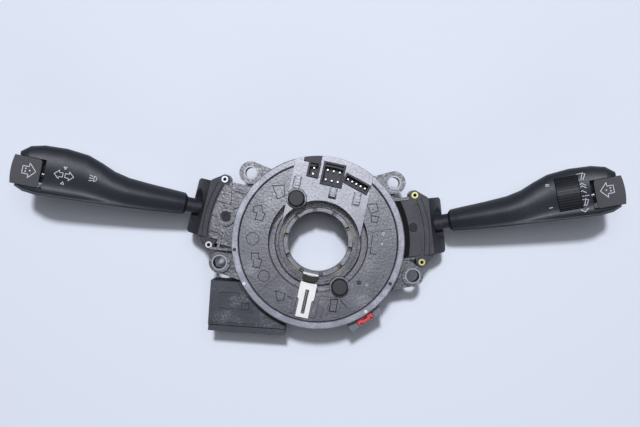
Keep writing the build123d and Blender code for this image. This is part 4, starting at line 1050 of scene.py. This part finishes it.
@dataclass
class GreaseSmears:
    """Olive grease that has crept out of the rotor's bearing, in runs round the crown.

    Sizes are millimetres. Each run has its distance from the bore's axis, the angle at which it
    starts and the angle that it covers.
    """

    height: float = 48.02
    thickness: float = 0.42
    flatness: float = 0.4  # of its width, how far a run stands up
    end_share: float = 0.08  # of half a wave, what the swell leaves off at each end
    ripple: float = 0.3  # of its width, how much a run swells and thins
    ripple_count: float = 23.0  # waves in a radian
    runs: tuple = (
        (22.0, -3.0, 40.0), (22.5, -66.0, 30.0), (22.2, -139.0, 27.0), (22.2, 156.0, 24.0),
    )
    steps: int = 24
    bead_sides: int = 10
    weld: float = 0.001

    def run(self, radius: float, start: float, sweep: float) -> Object:
        """Spins a small bead round the bore, flattens it and thins out its ends.

        Args:
            radius: How far the run lies from the bore's axis.
            start: The angle at which it starts.
            sweep: The angle that it covers.

        Returns:
            The run.
        """
        deselect_all()
        bpy.ops.mesh.primitive_circle_add(
            vertices=self.bead_sides, radius=self.thickness * MM, fill_type="NGON"
        )
        bead = bpy.context.object
        bead.rotation_euler.x = pi / 2
        bead.location = (radius * MM, 0.0, 0.0)
        apply_place(bead)
        switch_to("EDIT")
        bpy.ops.mesh.select_all(action="SELECT")
        bpy.ops.mesh.spin(
            steps=self.steps, angle=radians(sweep), center=(0.0, 0.0, 0.0), axis=(0.0, 0.0, -1.0)
        )
        bpy.ops.mesh.select_all(action="SELECT")
        bpy.ops.mesh.remove_doubles(threshold=self.weld * MM)
        bpy.ops.mesh.normals_make_consistent(inside=False)
        switch_to("OBJECT")
        angles = [atan2(vertex.co.y, vertex.co.x) for vertex in bead.data.vertices]
        low, high = min(angles), max(angles)
        for vertex, angle in zip(bead.data.vertices, angles):
            along = self.end_share + (1.0 - 2 * self.end_share) * (angle - low) / (high - low)
            swell = sin(pi * along) * (1.0 + self.ripple * sin(angle * self.ripple_count + radius))
            reach = hypot(vertex.co.x, vertex.co.y)
            wanted = radius * MM + (reach - radius * MM) * swell
            vertex.co.x *= wanted / reach
            vertex.co.y *= wanted / reach
            vertex.co.z *= self.flatness * swell
        bead.rotation_euler.z = radians(start) - low
        bead.location = (0.0, 0.0, self.height * MM)
        apply_place(bead)
        return bead

    def build(self) -> list[str]:
        """Lays every run.

        Returns:
            The name of the piece.
        """
        whole = join([self.run(*run) for run in self.runs], "grease_runs")
        put_on(whole, GREASE)
        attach(whole, "rotor")
        return [whole.name]


@dataclass
class MouldedOutlines:
    """Raised outlines that the mould leaves on the rotor's face, all of them plain shapes, painted
    black as shade along them.

    Sizes and places are millimetres. Outlines are closed, and lines are open.
    """

    width: float = 0.45
    rise: float = 0.3
    outlines: tuple = (
        ((-30.5, 33.2), (-23.4, 34.0), (-22.4, 27.4), (-26.8, 25.2)),
        (
            (-41.2, 19.6), (-36.4, 20.8), (-35.6, 16.4), (-34.0, 15.8),
            (-35.2, 10.8), (-39.8, 11.8), (-38.8, 15.4), (-41.4, 16.2),
        ),
        (
            (-40.6, -9.4), (-36.2, -9.0), (-35.8, -12.4), (-34.0, -13.2),
            (-35.0, -18.2), (-39.2, -17.6), (-38.8, -14.2), (-40.4, -13.0),
        ),
        ((28.4, 25.8), (34.6, 26.4), (35.8, 22.0), (31.4, 20.2), (30.2, 22.6)),
        ((31.6, 19.0), (36.4, 18.4), (35.4, 14.6), (32.2, 15.2)),
        ((10.4, -34.6), (14.6, -34.2), (14.0, -42.0), (10.0, -41.8)),
        ((-24.2, -31.6), (-18.2, -33.0), (-18.6, -37.0), (-22.6, -37.8)),
    )
    lines: tuple = (
        ((33.4, 7.0), (32.6, -4.6), (36.2, -4.8)),
        ((16.8, -35.0), (20.4, -38.6)),
        ((-16.6, -34.4), (-12.8, -35.8)),
    )

    def build(self) -> list[str]:
        """Draws the outlines as bars, lifts them onto the face and gives them their height.

        Returns:
            The name of the piece.
        """
        bars = []
        for points in (*((*outline, outline[0]) for outline in self.outlines), *self.lines):
            bars += [draw_bar(a, b, self.width) for a, b in zip(points, points[1:])]
        whole = join(bars, "moulded_outlines")
        whole.scale = (MM, MM, MM)
        whole.location = (0.0, 0.0, (DISC_TOP + self.rise) * MM)
        apply_place(whole)
        thick = whole.modifiers.new("rise", "SOLIDIFY")
        thick.thickness = self.rise * MM
        thick.offset = -1.0
        apply_modifiers(whole)
        # black rubber here is painted shade along the raised lines, not a material of their own
        put_on(whole, MOULDED_RUBBER)
        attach(whole, "rotor")
        return [whole.name]


@dataclass
class PlateTabs:
    """Pale spring tabs in the connector plate, each a strip with a hooked end.

    Sizes are millimetres. Each tab has its place, its width and length, and how far it is turned.
    """

    tabs: tuple = (
        (-15.0, 37.4, 3.0, 6.0, -4.0),
        (7.0, 32.2, 2.6, 4.6, -4.0),
        (22.6, 29.4, 2.8, 5.6, -4.0),
    )
    rise: float = 0.6
    hook_share: float = 0.3  # of its length, how long the hook is
    hook_rise: float = 0.8  # of its height, how far the hook stands above the strip
    edge: float = 0.12
    probe_height: float = 200.0  # from where the plate is looked for, well above it

    def tab(self, x: float, y: float, width: float, length: float, turned: float) -> Object:
        """One tab on the plate's face.

        Args:
            x: Its place to the right.
            y: Its place upwards.
            width: How wide it is.
            length: How long it is.
            turned: How far it is turned, in degrees.

        Returns:
            The tab.
        """
        plate = frame["nodes"]["connector_plate"]
        probe = Vector((x * MM, y * MM, self.probe_height * MM))
        _, where, _, _ = plate.ray_cast(probe, Vector((0.0, 0.0, -1.0)))
        hook_start = -length * (0.5 - self.hook_share) * MM
        deselect_all()
        bpy.ops.mesh.primitive_cube_add(size=1.0)
        strip = bpy.context.object
        strip.scale = (width * MM, length * MM, self.rise * MM)
        apply_place(strip)
        switch_to("EDIT")
        bpy.ops.mesh.select_all(action="SELECT")
        bpy.ops.mesh.bisect(plane_co=(0.0, hook_start, 0.0), plane_no=(0.0, 1.0, 0.0))
        switch_to("OBJECT")
        deselect_mesh(strip)
        for polygon in strip.data.polygons:
            polygon.select = polygon.normal.z > FACING_UP and polygon.center.y < hook_start
        switch_to("EDIT")
        bpy.ops.mesh.extrude_region_move(
            TRANSFORM_OT_translate={"value": (0.0, 0.0, self.rise * self.hook_rise * MM)}
        )
        switch_to("OBJECT")
        soft = strip.modifiers.new("edge", "BEVEL")
        soft.width = self.edge * MM
        soft.segments = 2
        apply_modifiers(strip)
        strip.rotation_euler.z = radians(turned)
        strip.location = (x * MM, y * MM, where.z + self.rise / 2 * MM)
        apply_place(strip)
        return strip

    def build(self) -> list[str]:
        """Makes the tabs.

        Returns:
            The name of the piece.
        """
        whole = join([self.tab(*tab) for tab in self.tabs], "plate_tabs")
        put_on(whole, GREY_ACETAL)
        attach(whole, "rotor")
        return [whole.name]


# ------------------------ frame dressing
class CadDress:
    """Puts the finishes on the CAD nodes."""

    def build(self) -> list[str]:
        """Dresses every node.

        Returns:
            The names of the nodes.
        """
        done = []
        for finish, names in NODE_FINISHES.items():
            for name in names:
                put_on(frame["nodes"][name], finish)
                done.append(name)
        missing = sorted(set(frame["nodes"]) - set(done))
        if missing:
            raise ValueError(f"nodes without a finish: {missing}")
        return done


# ------------------------ studio
@dataclass
class Studio:
    """Pale floor, a small key lamp with two softer ones, a weak sky and the camera straight above.

    Sizes and places are metres, and angles are degrees. Each lamp has its name, its power in watts,
    its diameter and its place.
    """

    floor_colour: str = "#dfe4e8"
    floor_roughness: float = 0.9
    floor_specular: float = 0.1
    floor_size: float = 6.0
    camera_distance: float = 0.62
    focus_height: float = 0.060
    nearest_seen: float = 0.01
    sight: tuple = (0.0, 0.018)
    roll: float = 4.0
    view_angle: float = 35.5
    lamps: tuple = (
        ("key", 40.0, 0.15, (-0.07, 0.57, 2.2)),
        ("softbox", 4.2, 0.5, (0.0, 0.19, 1.2)),
        ("bounce", 0.8, 0.6, (0.2, -0.8, 0.8)),
    )
    lamp_colour: tuple = (0.88, 0.895, 1.0)
    sky_strength: float = 0.05

    def camera(self) -> None:
        """The camera, looking straight down with the unit turned a little."""
        lens = bpy.data.cameras.new("camera")
        lens.sensor_fit = "HORIZONTAL"
        lens.angle = radians(self.view_angle)
        lens.clip_start = self.nearest_seen
        eye = bpy.data.objects.new("camera", lens)
        bpy.context.scene.collection.objects.link(eye)
        eye.location = (*self.sight, self.focus_height + self.camera_distance)
        eye.rotation_euler.z = radians(self.roll)
        bpy.context.scene.camera = eye

    def floor(self) -> None:
        """The plain pale floor that the unit lies on."""
        deselect_all()
        bpy.ops.mesh.primitive_plane_add(size=self.floor_size)
        plane = bpy.context.object
        plane.name = "floor"
        made = bpy.data.materials.new("pale_floor")
        made.use_nodes = True
        shader = made.node_tree.nodes["Principled BSDF"]
        shader.inputs["Base Color"].default_value = linear(self.floor_colour)
        shader.inputs["Roughness"].default_value = self.floor_roughness
        shader.inputs["Specular IOR Level"].default_value = self.floor_specular
        plane.data.materials.append(made)

    def light(self, name: str, power: float, size: float, place: tuple) -> None:
        """A round lamp that looks at the middle of the unit.

        Args:
            name: The lamp's name.
            power: Its power in watts.
            size: Its diameter.
            place: Where it hangs.
        """
        lamp = bpy.data.lights.new(name, "AREA")
        lamp.shape = "DISK"
        lamp.size = size
        lamp.energy = power
        lamp.color = self.lamp_colour
        holder = bpy.data.objects.new(name, lamp)
        bpy.context.scene.collection.objects.link(holder)
        holder.location = place
        direction = Vector((0.0, 0.0, self.focus_height)) - Vector(place)
        holder.rotation_euler = direction.to_track_quat("-Z", "Y").to_euler()

    def sky(self) -> None:
        """An even, weak sky, so that no shadow is quite black."""
        world = bpy.data.worlds.new("sky")
        world.use_nodes = True
        background = world.node_tree.nodes["Background"]
        background.inputs["Color"].default_value = (*self.lamp_colour, 1.0)
        background.inputs["Strength"].default_value = self.sky_strength
        bpy.context.scene.world = world

    def build(self) -> list[str]:
        """Sets the stage.

        Returns:
            The names of the camera, the floor and the lamps.
        """
        self.camera()
        self.floor()
        for lamp in self.lamps:
            self.light(*lamp)
        self.sky()
        bpy.context.scene.view_settings.view_transform = "Standard"
        return ["camera", "floor", *(lamp[0] for lamp in self.lamps)]


def main() -> None:
    """Builds the studio, dresses the frame and adds the pieces."""
    logging.basicConfig(level=logging.INFO, format="%(name)s: %(message)s")
    parts = (
        Studio(), CadDress(), LEFT_SIGNS, RIGHT_SIGNS, RotorMarks(), MouldedOutlines(), PlateTabs(),
        GreaseSmears(),
    )
    for part in parts:
        log.info("%s: %s", type(part).__name__, ", ".join(part.build()))


if __name__ == "__main__":
    main()
